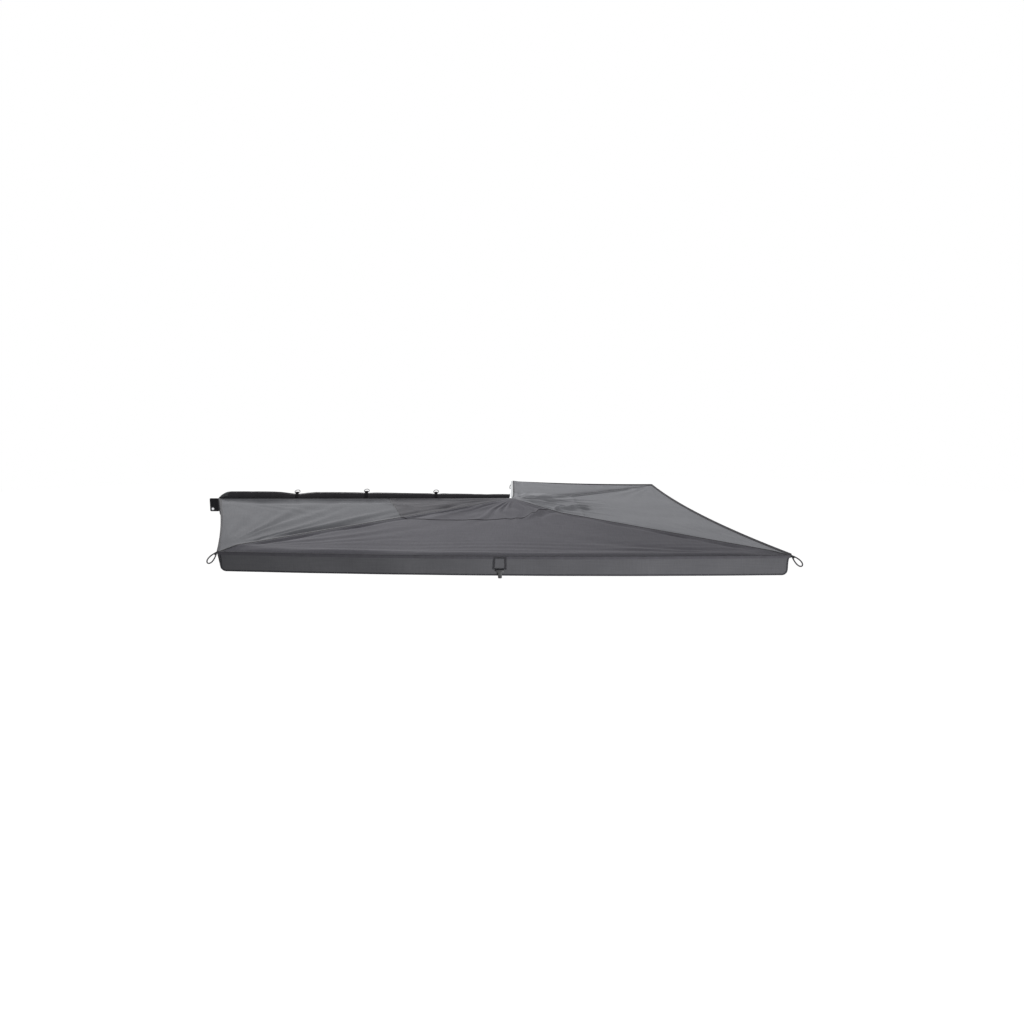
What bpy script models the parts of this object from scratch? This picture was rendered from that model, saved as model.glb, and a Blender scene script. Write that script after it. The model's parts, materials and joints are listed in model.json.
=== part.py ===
"""Free-standing vehicle side awning that opens through 270 degrees, modelled open.

Metres, +Z up, +X along the back rail towards the hub, +Y towards the vehicle. The origin is the
middle of the first rack bracket's foot, on its underside. Everything hangs under one empty, whose
own origin is the pivot axis at the arms' mid height.
"""

import math

import bmesh
import bpy
from mathutils import Matrix, Vector
from mathutils.geometry import convex_hull_2d, tessellate_polygon

# Clearances
GAP = 0.0003
PIN_GAP = 0.0003

# Canopy, seen from the pivot
REACH = 2.100
CORNER_DEG = (219.0, 315.0, 411.0, 450.0)
CORNER_DROP = (0.122, 0.106, 0.098, 0.122)
PEAK_HEIGHT = 0.057
CLOTH = 0.0015
SEAM_GAP = 0.0008
CLOTH_OVER_ARM = 0.0008
CLOTH_BEYOND_ARM = 0.004
CORNER_COVER = 0.011
TOUCH_SHARE = 0.24
LAST_ARM_EDGE = 0.009
HUB_HOLE = 0.008
EDGE_CUT = (0.018, 0.055, 0.045, 0.018)
EDGE_SAG = (0.008, 0.028, 0.020, 0.008)
RIDGE_FALL_OFF = 3
VALANCE_HEIGHT = 0.106
VALANCE_THICKNESS = 0.0018
VALANCE_END_ROUND = 0.030

# Arms
ARM_WIDTH = 0.025
ARM_HEIGHT = 0.046
ARM_WALL = 0.002
ARM_EDGE = 0.002
ARM_SLOPE_DEG = 2.0
ARM_LEVEL_AT = 0.150
LANE_PITCH = 0.034
HEAD_START = 0.084
HEAD_LENGTH = 0.030
SPIGOT_LENGTH = 0.080
CORNER_STRETCH = 0.110
ARM_END = REACH - CORNER_STRETCH
NOSE_LENGTH = 0.040
NOSE_FALL = 0.78
NOSE_ROUND = 0.004
LEAF_BOSS_RADIUS = 0.026
LEAF_ELBOW_RADIUS = 0.018
LEAF_ELBOW_ALONG = 0.060
NECK_INSET = 0.0015
NECK_LAP = 0.010
TIP_PLUG_LAP = 0.002

# Hub
PIVOT_RADIUS = 0.008
PIVOT_BUSH_WALL = 0.002
HUB_PLATE = 0.006
HUB_PLATE_RADIUS = 0.034
HUB_PLATE_LENGTH = 0.145
PIVOT_HEAD_RADIUS = 0.0135
PIVOT_HEAD_HEIGHT = 0.009
PIVOT_NUT_HEIGHT = 0.013
PIVOT_CHAMFER = 0.001
CAP_RADIUS = 0.036
CAP_WALL = 0.0025
CAP_PROFILE = ((0.0, 0.0, 0.0), (0.45, 0.0025, 0.0), (0.8, 0.007, 0.5), (0.97, 0.014, 1.0))

# Back rail
RAIL_DEPTH = 0.045
RAIL_HEIGHT = 0.052
RAIL_WALL = 0.003
RAIL_FRONT = 0.122
RAIL_START = 0.022
RAIL_PAST_REACH = 0.075
RAIL_END = REACH + RAIL_PAST_REACH
RAIL_CAP = 0.004
RAIL_PLUG = 0.030
KEDER_MOUTH = 0.003
KEDER_BORE = 0.008
KEDER_DEPTH = 0.009
RAIL_SHELF = 0.011
RAIL_LIP = 0.0024
RAIL_CORNER = 0.0018

# Rack brackets
BRACKET_AT = (0.350, 1.080, 1.810)
BRACKET_WIDTH = 0.060
BRACKET_PLATE = 0.006
FOOT_DEPTH = 0.085
FOOT_SLOT_LENGTH = 0.022
FOOT_SLOT_WIDTH = 0.0085
FOOT_SLOT_SPREAD = 0.036
FOOT_SLOT_FROM_EDGE = 0.016
BOLT_RADIUS = 0.004
BOLT_HEAD_RADIUS = 0.0065
BOLT_HEAD_HEIGHT = 0.0053
BRACKET_BOLT_REACH = 0.014

# Cover bag, rolled up on the rail
BAG_FRONT = 0.1205
BAG_BACK = 0.1735
BAG_PAST_RAIL = 0.003
BAG_END = RAIL_END + BAG_PAST_RAIL
BAG_END_TAPER = 0.090
BAG_LEFT_TOP = 0.0334
BAG_RIGHT_TOP = 0.0110
BAG_START = 0.030
BAG_SKIRT = 0.012
BAG_BASE_INSET = 0.005
BAG_RISE_FROM = 0.200
BAG_RISE_SHORT = 0.400
BAG_STEP = 0.004
BAG_EVEN_FROM = 0.300
BAG_DIP = 0.012
BAG_DIP_REACH = 0.085
BAG_DIP_FLAT = 0.016
BAG_DIP_STOPS = (-0.070, -BAG_DIP_FLAT, BAG_DIP_FLAT, 0.070)
CLOTH_EDGE_DROP = 0.018
CLOTH_EDGE_FRONT = 0.118
CLOTH_EDGE_TURN = 0.160

# D-rings in their tabs
RING_AT = (0.566, 1.083, 1.600)
RING_WIDTH = 0.042
RING_HEIGHT = 0.032
RING_WIRE = 0.0021
RING_STRAIGHT = 0.35
RING_BAR = 0.7
RING_LEAN_DEG = 40.0
TAB_WIDTH = 0.024
TAB_WEBBING = 0.0018
TAB_EYE_GAP = 0.0009
TAB_EYE_SIDES = 14
TAB_LEAN = (0.9, 0.45)
TAB_TAIL = 0.002

# End tab
END_TAB_WIDTH = 0.068
END_TAB_HEIGHT = 0.098
END_TAB_THICKNESS = 0.003
END_TAB_TOP = 0.018
END_TAB_CORNER = 0.008

# Corner loops
LOOP_LENGTH = 0.084
LOOP_WIDTH = 0.039
LOOP_CORD = 0.003
LOOP_FALL_DEG = (46.0, 38.0, 50.0, 65.0)
LOOP_WIDEST = 0.77
LOOP_SEAT = 0.0006

# Bail at the middle of the front hem
BAIL_WIDTH = 0.066
BAIL_HEIGHT = 0.072
BAIL_WEBBING_WIDTH = 0.011
BAIL_WEBBING = 0.002
BAIL_SPLAY = 0.006
TOGGLE_BAR_WIDTH = 0.046
TOGGLE_BAR_HEIGHT = 0.012
TOGGLE_STUB_WIDTH = 0.022
TOGGLE_STUB_HEIGHT = 0.036
TOGGLE_THICKNESS = 0.010
TOGGLE_CORNER = 0.004

# Drop-down legs
LEG_ARMS = (2, 3)
LEG_DROP = 0.046
LEG_HINGE_PAST_ARM = 0.016
LEG_HINGE_ALONG = ARM_END + LEG_HINGE_PAST_ARM
LEG_INNER_RADIUS = 0.0106
LEG_INNER_WALL = 0.0015
LEG_SLIDE_GAP = 0.0004
LEG_OUTER_WALL = 0.0015
LEG_OUTER_RADIUS = LEG_INNER_RADIUS + LEG_SLIDE_GAP + LEG_OUTER_WALL
LEG_OUTER_LENGTH = 1.080
LEG_OUTER_START = 0.020
LEG_INNER_OVERLAP = 0.780
LEG_INNER_SHOWS = 0.045
LEG_TONGUE = 0.014
LEG_TONGUE_HEIGHT = 0.021
LEG_TONGUE_ROOT = 0.008
LEG_PIN_RADIUS = 0.004
LEG_PIN_SHORT = 0.0002
LEG_LUG_RADIUS = 0.011
LEG_LUG_INTO_TIP = 0.004
LEG_PLUG = 0.030
COLLAR_WALL = 0.003
COLLAR_RADIUS = LEG_OUTER_RADIUS + PIN_GAP + COLLAR_WALL
COLLAR_LENGTH = 0.046
COLLAR_LIP = 0.010
COLLAR_CHAMFER = 0.002
FOOT_WALL = 0.0026
FOOT_RADIUS = LEG_INNER_RADIUS + PIN_GAP + FOOT_WALL
FOOT_UP = 0.020
FOOT_TOE = 0.0085
FOOT_CHAMFER = 0.002

# How many sides and steps the round and curved pieces have
ROUND_SIDES = 20
SMALL_SIDES = 12
HUB_STEPS = 4
CLOTH_STEPS_OUT = 7
CLOTH_STEPS_ROUND = 14
VALANCE_STEPS_DOWN = 3
BAG_STEPS = 14
LOOP_STEPS = 18

MATERIALS = {
    "anodised aluminium": ("b9bbbd", 0.38, 1.0),
    "powder coated steel": ("232326", 0.45, 0.6),
    "zinc plated steel": ("a9abad", 0.35, 1.0),
    "moulded nylon": ("1d1d1f", 0.5, 0.0),
    "canopy cloth": ("7b7c80", 0.85, 0.0),
    "front canopy cloth": ("69686d", 0.85, 0.0),
    "valance cloth": ("58585b", 0.85, 0.0),
    "coated cover cloth": ("2a292e", 0.6, 0.0),
    "black webbing": ("1c1c1f", 0.9, 0.0),
    "black cord": ("38383b", 0.9, 0.0),
    "rubber": ("18181a", 0.8, 0.0),
}


def srgb(text):
    """The colour of a hex triple, as Blender's linear values."""
    found = []
    for at in (0, 2, 4):
        value = int(text[at : at + 2], 16) / 255
        found.append(value / 12.92 if value <= 0.04045 else ((value + 0.055) / 1.055) ** 2.4)
    return (*found, 1.0)


def material(name):
    found = bpy.data.materials.get(name)
    if found:
        return found
    colour, roughness, metallic = MATERIALS[name]
    made = bpy.data.materials.new(name)
    made.use_nodes = True
    shader = made.node_tree.nodes["Principled BSDF"]
    shader.inputs["Base Color"].default_value = srgb(colour)
    shader.inputs["Roughness"].default_value = roughness
    shader.inputs["Metallic"].default_value = metallic
    return made


def add_mesh(name, shape, finish, parent, at=(0, 0, 0), turn=(0, 0, 0)):
    """Turns a bmesh into an object with its faces pointing out."""
    bmesh.ops.recalc_face_normals(shape, faces=shape.faces)
    mesh = bpy.data.meshes.new(name)
    shape.to_mesh(mesh)
    shape.free()
    mesh.shade_smooth()
    mesh.set_sharp_from_angle(angle=math.radians(35))
    mesh.materials.append(material(finish))
    return add_object(name, mesh, parent, at, turn)


def add_object(name, data, parent, at=(0, 0, 0), turn=(0, 0, 0)):
    made = bpy.data.objects.new(name, data)
    bpy.context.collection.objects.link(made)
    made.parent = parent
    made.location = at
    made.rotation_euler = turn
    return made


def add_empty(name, parent, at=(0, 0, 0), turn=(0, 0, 0)):
    return add_object(name, None, parent, at, turn)


def combine(target, other, finish, operation="DIFFERENCE"):
    """A Boolean of target with a hidden second mesh, whose bmesh is given."""
    tool = add_mesh(target.name + "_" + operation.lower(), other, finish, target)
    tool.hide_render = True
    tool.display_type = "WIRE"
    change = target.modifiers.new(operation.title(), "BOOLEAN")
    change.operation = operation
    change.object = tool


def prism(shape, outline, holes, low, high, place):
    """An outline with holes, drawn from low to high; place(u, v, w) gives each point."""
    loops = [outline, *holes]
    ends = []
    for level in (low, high):
        ends.append([[shape.verts.new(place(u, v, level)) for u, v in loop] for loop in loops])
    flat = [[Vector((u, v, 0)) for u, v in loop] for loop in loops]
    for end in ends:
        corners = [vertex for loop in end for vertex in loop]
        for triangle in tessellate_polygon(flat):
            shape.faces.new([corners[index] for index in triangle])
    for below, above in zip(*ends):
        count = len(below)
        for index in range(count):
            after = (index + 1) % count
            shape.faces.new([below[index], below[after], above[after], above[index]])


def along_x(u, v, w):
    return (w, u, v)


def along_y(u, v, w):
    return (u, w, v)


def along_z(u, v, w):
    return (u, v, w)


def box(shape, low, high, place=along_z):
    outline = [(low[0], low[1]), (high[0], low[1]), (high[0], high[1]), (low[0], high[1])]
    prism(shape, outline, [], low[2], high[2], place)


def circle(u, v, radius, sides=ROUND_SIDES, first=0.0, sweep=2 * math.pi):
    """Points round a circle, or round a part of it with both ends included."""
    steps = sides if sweep >= 2 * math.pi else sides - 1
    angles = [first + sweep * index / steps for index in range(sides)]
    return [(u + radius * math.cos(angle), v + radius * math.sin(angle)) for angle in angles]


def turned(shape, profile, sides, place=along_z):
    """A profile of (radius, height) points turned round the third axis."""
    rings = []
    for radius, height in profile:
        if radius == 0:
            rings.append([shape.verts.new(place(0, 0, height))])
        else:
            rings.append([shape.verts.new(place(x, y, height)) for x, y in circle(0, 0, radius, sides)])
    closed = profile[0][0] != 0
    pairs = list(zip(rings, rings[1:])) + ([(rings[-1], rings[0])] if closed else [])
    for one, two in pairs:
        for index in range(sides):
            after = (index + 1) % sides
            corners = [one[index % len(one)], one[after % len(one)]]
            corners += [two[after % len(two)], two[index % len(two)]]
            unique = list(dict.fromkeys(corners))
            shape.faces.new(unique)


def shell(shape, rows, offset):
    """A closed sheet: rows of points, and the same rows moved by offset(point) as its other side."""
    top = [[shape.verts.new(point) for point in row] for row in rows]
    bottom = [[shape.verts.new(point + offset(point)) for point in row] for row in rows]
    deep, wide = len(rows), len(rows[0])
    for i in range(deep - 1):
        for j in range(wide - 1):
            for side in (top, bottom):
                shape.faces.new([side[i][j], side[i][j + 1], side[i + 1][j + 1], side[i + 1][j]])
    rim = [(0, j) for j in range(wide)] + [(i, wide - 1) for i in range(1, deep)]
    rim += [(deep - 1, j) for j in range(wide - 2, -1, -1)] + [(i, 0) for i in range(deep - 2, 0, -1)]
    for index, (i, j) in enumerate(rim):
        k, m = rim[(index + 1) % len(rim)]
        shape.faces.new([top[i][j], top[k][m], bottom[k][m], bottom[i][j]])


def loft(shape, sections):
    """A closed solid through sections that have the same number of points."""
    rings = [[shape.verts.new(point) for point in section] for section in sections]
    for one, two in zip(rings, rings[1:]):
        for index in range(len(one)):
            after = (index + 1) % len(one)
            shape.faces.new([one[index], one[after], two[after], two[index]])
    shape.faces.new(rings[0])
    shape.faces.new(rings[-1])


def add_tube(name, points, radius, closed, finish, parent):
    """A round cord or wire through the points."""
    curve = bpy.data.curves.new(name, "CURVE")
    curve.dimensions = "3D"
    curve.bevel_depth = radius
    curve.bevel_resolution = 2
    curve.use_fill_caps = True
    spline = curve.splines.new("POLY")
    spline.points.add(len(points) - 1)
    for point, place in zip(spline.points, points):
        point.co = (*place, 1)
    spline.use_cyclic_u = closed
    curve.materials.append(material(finish))
    return add_object(name, curve, parent)


for old in list(bpy.data.objects):
    bpy.data.objects.remove(old, do_unlink=True)

# Places that follow from the driving dimensions, from the pivot axis at the arms' mid height
RAIL_BACK = RAIL_FRONT + RAIL_DEPTH
RAIL_MIDDLE = (RAIL_FRONT + RAIL_BACK) / 2
RAIL_TOP = RAIL_HEIGHT / 2
HUB_PLATE_LOW = RAIL_TOP + GAP
HUB_PLATE_HIGH = HUB_PLATE_LOW + HUB_PLATE
FOOT_FRONT = RAIL_BACK + GAP
LEAF = (2 * HUB_PLATE_LOW - 5 * GAP) / 4
BUSH_RADIUS = PIVOT_RADIUS + PIN_GAP + PIVOT_BUSH_WALL
LANES = [-LANE_PITCH * (3 - index) for index in range(4)]
ARM_DEG = [
    corner - math.degrees(math.asin(lane / REACH)) for corner, lane in zip(CORNER_DEG, LANES)
]
ARM_END_SHARE = ARM_END / math.sqrt(REACH**2 - LANES[0] ** 2)
SLOPE = math.radians(ARM_SLOPE_DEG)
PIVOT_AT = (BRACKET_AT[0], -(FOOT_FRONT + FOOT_DEPTH / 2), RAIL_TOP)

awning = add_empty("awning", None, PIVOT_AT)


# Back rail: a hollow extrusion with a keder slot for the canopy's edge in its top
def rail_outline():
    slot = RAIL_FRONT + RAIL_WALL + KEDER_BORE / 2
    mouth, bore = KEDER_MOUTH / 2, KEDER_BORE / 2
    lip = RAIL_TOP - RAIL_LIP
    floor = RAIL_TOP - KEDER_DEPTH
    corner = RAIL_CORNER
    return [
        (RAIL_FRONT + corner, -RAIL_TOP),
        (RAIL_BACK - corner, -RAIL_TOP),
        (RAIL_BACK, -RAIL_TOP + corner),
        (RAIL_BACK, RAIL_TOP - corner),
        (RAIL_BACK - corner, RAIL_TOP),
        (slot + mouth, RAIL_TOP),
        (slot + mouth, lip),
        (slot + bore, lip),
        (slot + bore, floor),
        (slot - bore, floor),
        (slot - bore, lip),
        (slot - mouth, lip),
        (slot - mouth, RAIL_TOP),
        (RAIL_FRONT + corner, RAIL_TOP),
        (RAIL_FRONT, RAIL_TOP - corner),
        (RAIL_FRONT, -RAIL_TOP + corner),
    ]


def soft_rectangle(half, low, high, edge):
    """An upright rectangle with its four corners cut off."""
    lower = [(-half + edge, low), (half - edge, low), (half, low + edge), (half, high - edge)]
    return lower + [(half - edge, high), (-half + edge, high), (-half, high - edge), (-half, low + edge)]


def rectangle(low_u, low_v, high_u, high_v):
    return [(low_u, low_v), (high_u, low_v), (high_u, high_v), (low_u, high_v)]


CHAMBER = (
    RAIL_FRONT + RAIL_WALL,
    -RAIL_TOP + RAIL_WALL,
    RAIL_BACK - RAIL_WALL,
    RAIL_TOP - RAIL_WALL - RAIL_SHELF,
)
UPPER_CHAMBER = (
    RAIL_FRONT + 2 * RAIL_WALL + KEDER_BORE,
    CHAMBER[3] + RAIL_WALL,
    RAIL_BACK - RAIL_WALL,
    RAIL_TOP - RAIL_WALL,
)
HUB_BOLTS_X = [-(RAIL_START + share * HUB_PLATE_LENGTH) for share in (0.2, 0.8)]
BRACKET_BOLT_Z = CHAMBER[1] + (CHAMBER[3] - CHAMBER[1]) * 0.55

shape = bmesh.new()
chambers = [rectangle(*CHAMBER), rectangle(*UPPER_CHAMBER)]
prism(shape, rail_outline(), chambers, -RAIL_END, -RAIL_START, along_x)
rail = add_mesh("back_rail", shape, "anodised aluminium", awning)
holes = bmesh.new()
for x in HUB_BOLTS_X:
    outline = circle(x, RAIL_MIDDLE, BOLT_RADIUS + PIN_GAP, SMALL_SIDES)
    prism(holes, outline, [], -RAIL_HEIGHT, RAIL_HEIGHT, along_z)
for at in BRACKET_AT:
    outline = circle(-at, BRACKET_BOLT_Z, BOLT_RADIUS + PIN_GAP, SMALL_SIDES)
    prism(holes, outline, [], RAIL_BACK - 2 * RAIL_WALL, RAIL_BACK + RAIL_WALL, along_y)
combine(rail, holes, "anodised aluminium")

# Cap that closes the rail's far end: a plate with a plug in the lower chamber
shape = bmesh.new()
plug = rectangle(CHAMBER[0] + GAP, CHAMBER[1] + GAP, CHAMBER[2] - GAP, CHAMBER[3] - GAP)
face = rectangle(RAIL_FRONT, -RAIL_TOP, RAIL_BACK, RAIL_TOP)
cap_face = -RAIL_END - GAP
stops = ((-RAIL_END + RAIL_PLUG, plug), (cap_face, plug), (cap_face, face), (cap_face - RAIL_CAP, face))
loft(shape, [[(x, y, z) for y, z in outline] for x, outline in stops])
add_mesh("rail_end_cap", shape, "moulded nylon", awning)

# Rack brackets: L plates bolted to the rail's back, with two slots in each foot
slot_y = FOOT_FRONT + FOOT_DEPTH - FOOT_SLOT_FROM_EDGE
for number, at in enumerate(BRACKET_AT, 1):
    shape = bmesh.new()
    side = [
        (FOOT_FRONT, -RAIL_TOP),
        (FOOT_FRONT + FOOT_DEPTH, -RAIL_TOP),
        (FOOT_FRONT + FOOT_DEPTH, -RAIL_TOP + BRACKET_PLATE),
        (FOOT_FRONT + BRACKET_PLATE, -RAIL_TOP + BRACKET_PLATE),
        (FOOT_FRONT + BRACKET_PLATE, RAIL_TOP - RAIL_WALL),
        (FOOT_FRONT, RAIL_TOP - RAIL_WALL),
    ]
    prism(shape, side, [], -at - BRACKET_WIDTH / 2, -at + BRACKET_WIDTH / 2, along_x)
    bracket = add_mesh(f"rack_bracket_{number}", shape, "powder coated steel", awning)
    holes = bmesh.new()
    outline = circle(-at, BRACKET_BOLT_Z, BOLT_RADIUS + PIN_GAP, SMALL_SIDES)
    prism(holes, outline, [], FOOT_FRONT - RAIL_WALL, FOOT_FRONT + 2 * BRACKET_PLATE, along_y)
    for way in (-1, 1):
        centre = -at + way * FOOT_SLOT_SPREAD / 2
        reach = (FOOT_SLOT_LENGTH - FOOT_SLOT_WIDTH) / 2
        outline = circle(centre, slot_y + reach, FOOT_SLOT_WIDTH / 2, 9, 0, math.pi)
        outline += circle(centre, slot_y - reach, FOOT_SLOT_WIDTH / 2, 9, math.pi, math.pi)
        prism(holes, outline, [], -RAIL_TOP - BRACKET_PLATE, -RAIL_TOP + 2 * BRACKET_PLATE, along_z)
    combine(bracket, holes, "powder coated steel")


# Bolts that hold the brackets and the hub plates to the rail
def add_bolt(name, seat, length, place):
    """A bolt whose head rests at seat and whose shank runs back from it by length."""
    profile = [
        (0, seat - length),
        (BOLT_RADIUS, seat - length),
        (BOLT_RADIUS, seat + GAP),
        (BOLT_HEAD_RADIUS, seat + GAP),
        (BOLT_HEAD_RADIUS, seat + GAP + BOLT_HEAD_HEIGHT * 0.8),
        (BOLT_HEAD_RADIUS * 0.85, seat + GAP + BOLT_HEAD_HEIGHT),
        (0, seat + GAP + BOLT_HEAD_HEIGHT),
    ]
    shape = bmesh.new()
    turned(shape, profile, SMALL_SIDES, place)
    add_mesh(name, shape, "zinc plated steel", awning)


for number, at in enumerate(BRACKET_AT, 1):
    seat = FOOT_FRONT + BRACKET_PLATE
    place = lambda u, v, w: (u - at, w, BRACKET_BOLT_Z + v)
    add_bolt(f"bracket_bolt_{number}", seat, BRACKET_BOLT_REACH, place)
for number, x in enumerate(HUB_BOLTS_X, 1):
    place = lambda u, v, w: (x + u, RAIL_MIDDLE + v, -w)
    add_bolt(f"hub_bolt_{number}", HUB_PLATE_HIGH, 2 * HUB_PLATE_HIGH - GAP, place)

# Hub plates: they hold the pivot bolt in front of the rail and let the arms swing between them
near, far = RAIL_START, RAIL_START + HUB_PLATE_LENGTH
rim = circle(0, 0, HUB_PLATE_RADIUS) + rectangle(-far, RAIL_FRONT + GAP, -near, RAIL_BACK)
plate_outline = [rim[index] for index in convex_hull_2d([Vector(point) for point in rim])]
plate_holes = [circle(0, 0, PIVOT_RADIUS + PIN_GAP)]
plate_holes += [circle(x, RAIL_MIDDLE, BOLT_RADIUS + PIN_GAP, SMALL_SIDES) for x in HUB_BOLTS_X]
for name, low, high in (
    ("hub_top_plate", HUB_PLATE_LOW, HUB_PLATE_HIGH),
    ("hub_bottom_plate", -HUB_PLATE_HIGH, -HUB_PLATE_LOW),
):
    shape = bmesh.new()
    prism(shape, plate_outline, plate_holes, low, high, along_z)
    add_mesh(name, shape, "powder coated steel", awning)

# Pivot bolt, its nut, the bush that the leaves turn on and the cap under the cloth's peak
head_low = HUB_PLATE_HIGH + GAP
head_high = head_low + PIVOT_HEAD_HEIGHT
nut_high = -HUB_PLATE_HIGH - GAP
nut_low = nut_high - PIVOT_NUT_HEIGHT
shape = bmesh.new()
profile = [
    (0, nut_low - 2 * PIN_GAP),
    (PIVOT_RADIUS - PIVOT_CHAMFER, nut_low - 2 * PIN_GAP),
    (PIVOT_RADIUS, nut_low + PIVOT_CHAMFER),
    (PIVOT_RADIUS, head_low),
    (PIVOT_HEAD_RADIUS, head_low),
    (PIVOT_HEAD_RADIUS, head_high - PIVOT_CHAMFER),
    (PIVOT_HEAD_RADIUS - 1.5 * PIVOT_CHAMFER, head_high),
    (0, head_high),
]
turned(shape, profile, ROUND_SIDES)
add_mesh("pivot_bolt", shape, "zinc plated steel", awning)

shape = bmesh.new()
hexagon = circle(0, 0, PIVOT_HEAD_RADIUS, 6)
prism(shape, hexagon, [circle(0, 0, PIVOT_RADIUS + PIN_GAP)], nut_low, nut_high, along_z)
add_mesh("pivot_nut", shape, "zinc plated steel", awning)

bush_end = HUB_PLATE_LOW - GAP
shape = bmesh.new()
profile = [(BUSH_RADIUS - PIVOT_BUSH_WALL, bush_end), (BUSH_RADIUS, bush_end)]
profile += [(radius, -height) for radius, height in reversed(profile)]
turned(shape, profile, ROUND_SIDES)
add_mesh("pivot_bush", shape, "moulded nylon", awning)

cap_low = HUB_PLATE_HIGH + GAP
cap_top = PEAK_HEIGHT - CLOTH - 2 * GAP
shape = bmesh.new()
profile = [(CAP_RADIUS * share, cap_top - fall) for share, fall, steep in CAP_PROFILE]
profile += [(CAP_RADIUS, cap_low), (CAP_RADIUS - CAP_WALL, cap_low)]
for share, fall, steep in reversed(CAP_PROFILE):
    under = CAP_WALL * (1 - steep / 2)
    profile.append((CAP_RADIUS * share - CAP_WALL * steep, cap_top - fall - under))
turned(shape, profile, ROUND_SIDES)
add_mesh("hub_cap", shape, "moulded nylon", awning)


# Cover bag: rolled up on the rail, fuller at the rail's far end
def bag_top(x):
    """Height of the rolled bag's top above the pivot frame, with a dip where its last tab pulls it in."""
    share = min(max((x - BAG_RISE_FROM) / (RAIL_END - BAG_RISE_SHORT), 0), 1)
    rise = BAG_RIGHT_TOP + (BAG_LEFT_TOP - BAG_RIGHT_TOP) * share**0.8
    end = max(x - (BAG_END - BAG_END_TAPER), 0) / BAG_END_TAPER
    aside = max(abs(x - RING_AT[-1]) - BAG_DIP_FLAT, 0)
    dip = BAG_DIP * math.exp(-((aside / BAG_DIP_REACH) ** 2))
    return PEAK_HEIGHT + rise - dip - (BAG_LEFT_TOP + CLOTH_EDGE_DROP * 0.4) * end**1.6


def bag_section(x):
    """The bag's outline across the rail, from the front bottom edge up and over."""
    on_plate = x < RAIL_START + HUB_PLATE_LENGTH + BAG_SKIRT
    low = (HUB_PLATE_HIGH if on_plate else RAIL_TOP) + GAP
    high = bag_top(x)
    middle, half = (BAG_FRONT + BAG_BACK) / 2, (BAG_BACK - BAG_FRONT) / 2
    found = []
    for index in range(11):
        angle = math.pi * (1 - index / 10)
        across = math.copysign(abs(math.cos(angle)) ** 0.8, math.cos(angle))
        up = low + BAG_SKIRT + (high - low - BAG_SKIRT) * math.sin(angle) ** 0.9
        found.append((middle + half * across, up))
    found.append((BAG_BACK - BAG_BASE_INSET, low))
    found.append((BAG_FRONT + BAG_BASE_INSET, low))
    return found


skirt_end = RAIL_START + HUB_PLATE_LENGTH + BAG_SKIRT
stops = [BAG_START, skirt_end - BAG_STEP, skirt_end + 2 * BAG_STEP]
for index in range(BAG_STEPS + 1):
    stops.append(BAG_EVEN_FROM + (BAG_END - BAG_END_TAPER - BAG_EVEN_FROM) * index / BAG_STEPS)
stops += [BAG_END - BAG_END_TAPER * share for share in (0.6, 0.3, 0.0)]
stops = sorted(stops + [RING_AT[-1] + away for away in BAG_DIP_STOPS])
shape = bmesh.new()
loft(shape, [[(-x, y, z) for y, z in bag_section(x)] for x in stops])
add_mesh("cover_bag", shape, "coated cover cloth", awning)

# Webbing tabs over the bag, each with an eye that holds a D-ring's bar
eye_inner = RING_WIRE + TAB_EYE_GAP
eye_outer = eye_inner + TAB_WEBBING
ring_y = (BAG_FRONT + BAG_BACK) / 2
for number, at in enumerate(RING_AT, 1):
    front = bag_section(at)[:5]
    eye_z = bag_top(at) + eye_outer + 2 * GAP
    start = (front[0][0], front[0][1] - TAB_TAIL)
    path = [start, *front]
    lift = GAP + TAB_WEBBING
    outer = [(y - lift * TAB_LEAN[0], z + lift * TAB_LEAN[1]) for y, z in path]
    inner = [(y - GAP * 1.2, z + GAP) for y, z in path]
    eye = circle(ring_y, eye_z, eye_outer, TAB_EYE_SIDES, math.radians(-110), math.radians(300))
    outline = inner + eye + outer[::-1]
    shape = bmesh.new()
    hole = circle(ring_y, eye_z, eye_inner, TAB_EYE_SIDES)
    prism(shape, outline, [hole], -at - TAB_WIDTH / 2, -at + TAB_WIDTH / 2, along_x)
    add_mesh(f"ring_tab_{number}", shape, "black webbing", awning)

    half = RING_WIDTH / 2 - RING_WIRE
    crown = RING_HEIGHT - 2 * RING_WIRE
    points = [(-half, 0, 0)]
    straight = crown * RING_STRAIGHT
    arch = circle(0, 0, 1, 9, math.pi, -math.pi)
    points += [(half * x, 0, straight + (crown - straight) * y) for x, y in arch]
    points += [(half, 0, 0)]
    points += [(half * share, 0, 0) for share in (RING_BAR, -RING_BAR)]
    lean = (-math.radians(RING_LEAN_DEG), 0, 0)
    hinge = add_empty(f"d_ring_{number}_axis", awning, (-at, ring_y, eye_z), lean)
    add_tube(f"d_ring_{number}", points, RING_WIRE, True, "zinc plated steel", hinge)

# Tab at the rail's far end
tab_right = -(RAIL_END + RAIL_CAP + 2 * GAP)
tab_top = PEAK_HEIGHT - END_TAB_TOP
tab_y = RAIL_FRONT + END_TAB_THICKNESS
tab_left, tab_low = tab_right - END_TAB_WIDTH, tab_top - END_TAB_HEIGHT
outline = [
    (tab_right, tab_top),
    (tab_left + END_TAB_CORNER, tab_top),
    (tab_left, tab_top - END_TAB_CORNER),
    (tab_left, tab_low + END_TAB_CORNER),
    (tab_left + END_TAB_CORNER, tab_low),
    (tab_right, tab_low),
]
shape = bmesh.new()
prism(shape, outline, [], tab_y, tab_y + END_TAB_THICKNESS, along_y)
add_mesh("end_tab", shape, "black webbing", awning)


# Arms: a tube in its own lane, a knuckle with a leaf on the pivot, and a tip fitting
def arm_bow(along):
    """Height of an arm's mid line at a distance out from the pivot."""
    return (ARM_LEVEL_AT - along) * math.tan(SLOPE)


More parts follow.
